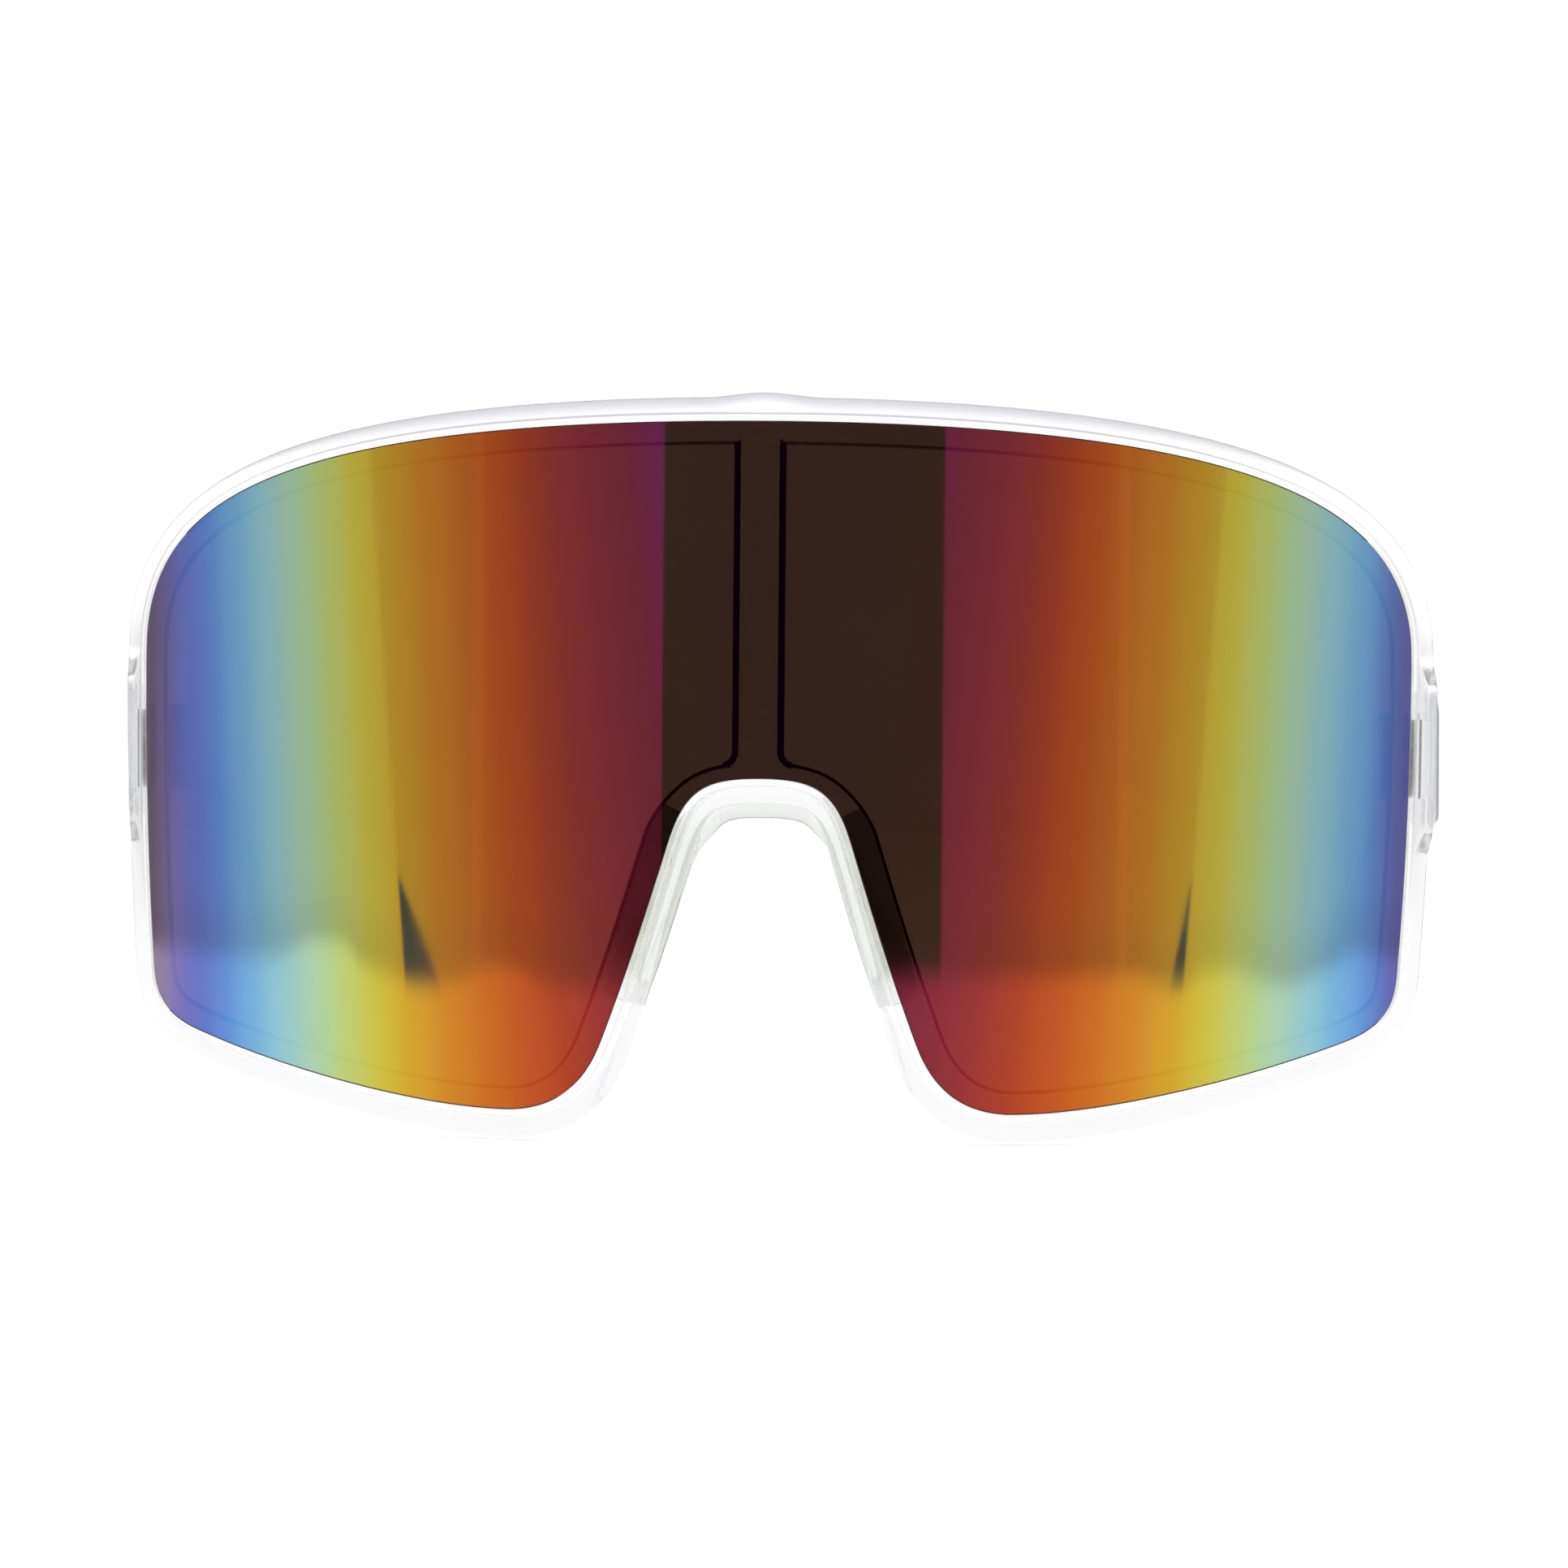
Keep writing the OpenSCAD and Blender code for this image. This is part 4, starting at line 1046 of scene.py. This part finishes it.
def makeWorld():
    # A white studio; what glossy surfaces see of it is two wall panels with a dark slot for the camera
    world = bpy.data.worlds.new("studio")
    scene.world = world
    world.use_nodes = True
    tree = world.node_tree
    tree.nodes.clear()
    path = addNode(tree, "ShaderNodeLightPath")
    way = addNode(tree, "ShaderNodeTexCoord").outputs["Generated"]
    x, y, z = addNode(tree, "ShaderNodeSeparateXYZ", {0: way}).outputs
    turn = calc(tree, "DEGREES", calc(tree, "ARCTAN2", x, calc(tree, "MULTIPLY", y, -1)))
    lift = calc(tree, "DEGREES", calc(tree, "ARCSINE", z))
    # Walls: brighter past the seams, which lean outwards as they rise
    fromMiddle = calc(tree, "ABSOLUTE", calc(tree, "SUBTRACT", turn, studio["seamMiddle"]))
    seam = calc(tree, "MULTIPLY_ADD", lift, studio["seamLean"], studio["seamAngle"])
    inside = calc(tree, "SUBTRACT", seam, fromMiddle)
    outer = band(tree, inside, studio["seamSoft"], -studio["seamSoft"])
    wall = calc(tree, "MULTIPLY_ADD", outer, studio["outerWall"] - studio["innerWall"], studio["innerWall"])
    # Far round the sides the studio ends, and on each wall stands a faint brighter strip
    wall = calc(tree, "MULTIPLY", wall, addNode(tree, "ShaderNodeMapRange", {
        0: fromMiddle, 1: studio["endFrom"], 2: studio["endTo"], 3: 1.0, 4: studio["endLevel"]}).outputs[0])
    for place in studio["strips"]:
        strip = calc(tree, "ABSOLUTE", calc(tree, "SUBTRACT", turn, place))
        strip = band(tree, strip, studio["stripWidth"], studio["stripWidth"] / 2)
        wall = calc(tree, "MULTIPLY", wall, calc(tree, "MULTIPLY_ADD", strip, studio["stripLift"], 1))
    # Dark wedge where a seam hangs open at its foot
    leftSide = calc(tree, "LESS_THAN", turn, 0)
    left, right = studio["wedgeWidths"]
    width = calc(tree, "MULTIPLY_ADD", leftSide, left - right, right)
    mouth = calc(tree, "MULTIPLY", calc(tree, "SUBTRACT", studio["wedgeTip"], lift), width)
    wedge = band(tree, calc(tree, "SUBTRACT", mouth, inside), *studio["wedgeSoft"])
    wedge = calc(tree, "MULTIPLY", wedge, band(tree, inside, *studio["wedgeSide"]))
    # The camera's slot
    soft = studio["gapSoft"]
    slot = calc(tree, "MULTIPLY", band(tree, turn, studio["gapFrom"] - soft, studio["gapFrom"] + soft),
                band(tree, turn, studio["gapTo"] + soft, studio["gapTo"] - soft))
    wall = addNode(tree, "ShaderNodeMix", {0: slot, 2: wall, 3: studio["gap"]}).outputs[0]
    # The bright floor starts at the walls' wavy hem
    curve = addNode(tree, "ShaderNodeFloatCurve", {"Value": calc(tree, "MULTIPLY_ADD", turn, 1 / 360, 0.5)})
    points = curve.mapping.curves[0].points
    while len(points) < len(studio["hem"]):
        points.new(0.5, 0.5)
    for point, (place, height) in zip(points, studio["hem"]):
        point.location = (place / 360 + 0.5, height + studio["hemLift"])
    curve.mapping.update()
    overHem = calc(tree, "SUBTRACT", lift, calc(tree, "SUBTRACT", curve.outputs[0], studio["hemLift"]))
    above = band(tree, overHem, -studio["hemSoft"], studio["hemSoft"])
    shaded = band(tree, overHem, studio["hemShadeTo"], studio["hemSoft"] / 2)
    wall = calc(tree, "MULTIPLY", wall, calc(tree, "MULTIPLY_ADD", shaded, -studio["hemShade"], 1))
    walls = mixColours(tree, wedge, addNode(tree, "ShaderNodeCombineColor", {
        0: wall, 1: wall, 2: wall}).outputs[0], studio["wedgeColour"])
    glossy = mixColours(tree, above, (studio["floorZone"],) * 3, walls)
    plain = addNode(tree, "ShaderNodeMix", {
        0: path.outputs["Is Camera Ray"], 2: studio["fill"], 3: studio["white"]}).outputs[0]
    seen = mixColours(tree, path.outputs["Is Glossy Ray"], plain, glossy)
    # What has passed clear plastic sees a white surround
    passed = calc(tree, "GREATER_THAN", path.outputs["Transmission Depth"], 0.5)
    passed = calc(tree, "MAXIMUM", path.outputs["Is Transmission Ray"], passed)
    seen = mixColours(tree, passed, seen, (studio["white"],) * 3)
    light = addNode(tree, "ShaderNodeBackground", {"Color": seen})
    addNode(tree, "ShaderNodeOutputWorld", {"Surface": light.outputs[0]})


lampLook = dict(place=(0, -0.1, 0.9), size=0.9, power=3.0)


def makeLamp():
    data = bpy.data.lights.new("topSoftbox", "AREA")
    data.shape = "DISK"
    data.size, data.energy = lampLook["size"], lampLook["power"]
    lamp = bpy.data.objects.new("topSoftbox", data)
    scene.collection.objects.link(lamp)
    lamp.location = lampLook["place"]
    lamp.rotation_euler = (-Vector(lampLook["place"])).to_track_quat("-Z", "Y").to_euler()
    lamp.visible_camera = lamp.visible_glossy = lamp.visible_transmission = False


view = dict(
    distance=500, aside=-2.56, below=1.72, turn=-2.2537, roll=0.5033, focal=108.15, sensor=36, near=0.01)


def makeCamera():
    data = bpy.data.cameras.new("camera")
    data.lens, data.sensor_width, data.clip_start = view["focal"], view["sensor"], view["near"]
    camera = bpy.data.objects.new("camera", data)
    scene.collection.objects.link(camera)
    roll, spin = math.radians(view["roll"]), math.radians(view["turn"])
    turn = Matrix.Rotation(roll, 3, "Y") @ Matrix.Rotation(spin, 3, "Z")
    offset = Vector((view["aside"], view["distance"], view["below"]))
    target = Vector((0, apexY, middleZ))
    place = (turn.transposed() @ -offset + target) * mm
    right, ahead, up = turn
    camera.matrix_world = Matrix((
        (right.x, up.x, -ahead.x, place.x), (right.y, up.y, -ahead.y, place.y),
        (right.z, up.z, -ahead.z, place.z), (0, 0, 0, 1)))
    scene.camera = camera


makeFloor()
makeWorld()
makeLamp()
makeCamera()
scene.view_settings.view_transform = "Standard"
print("stage: floor, light and camera set")
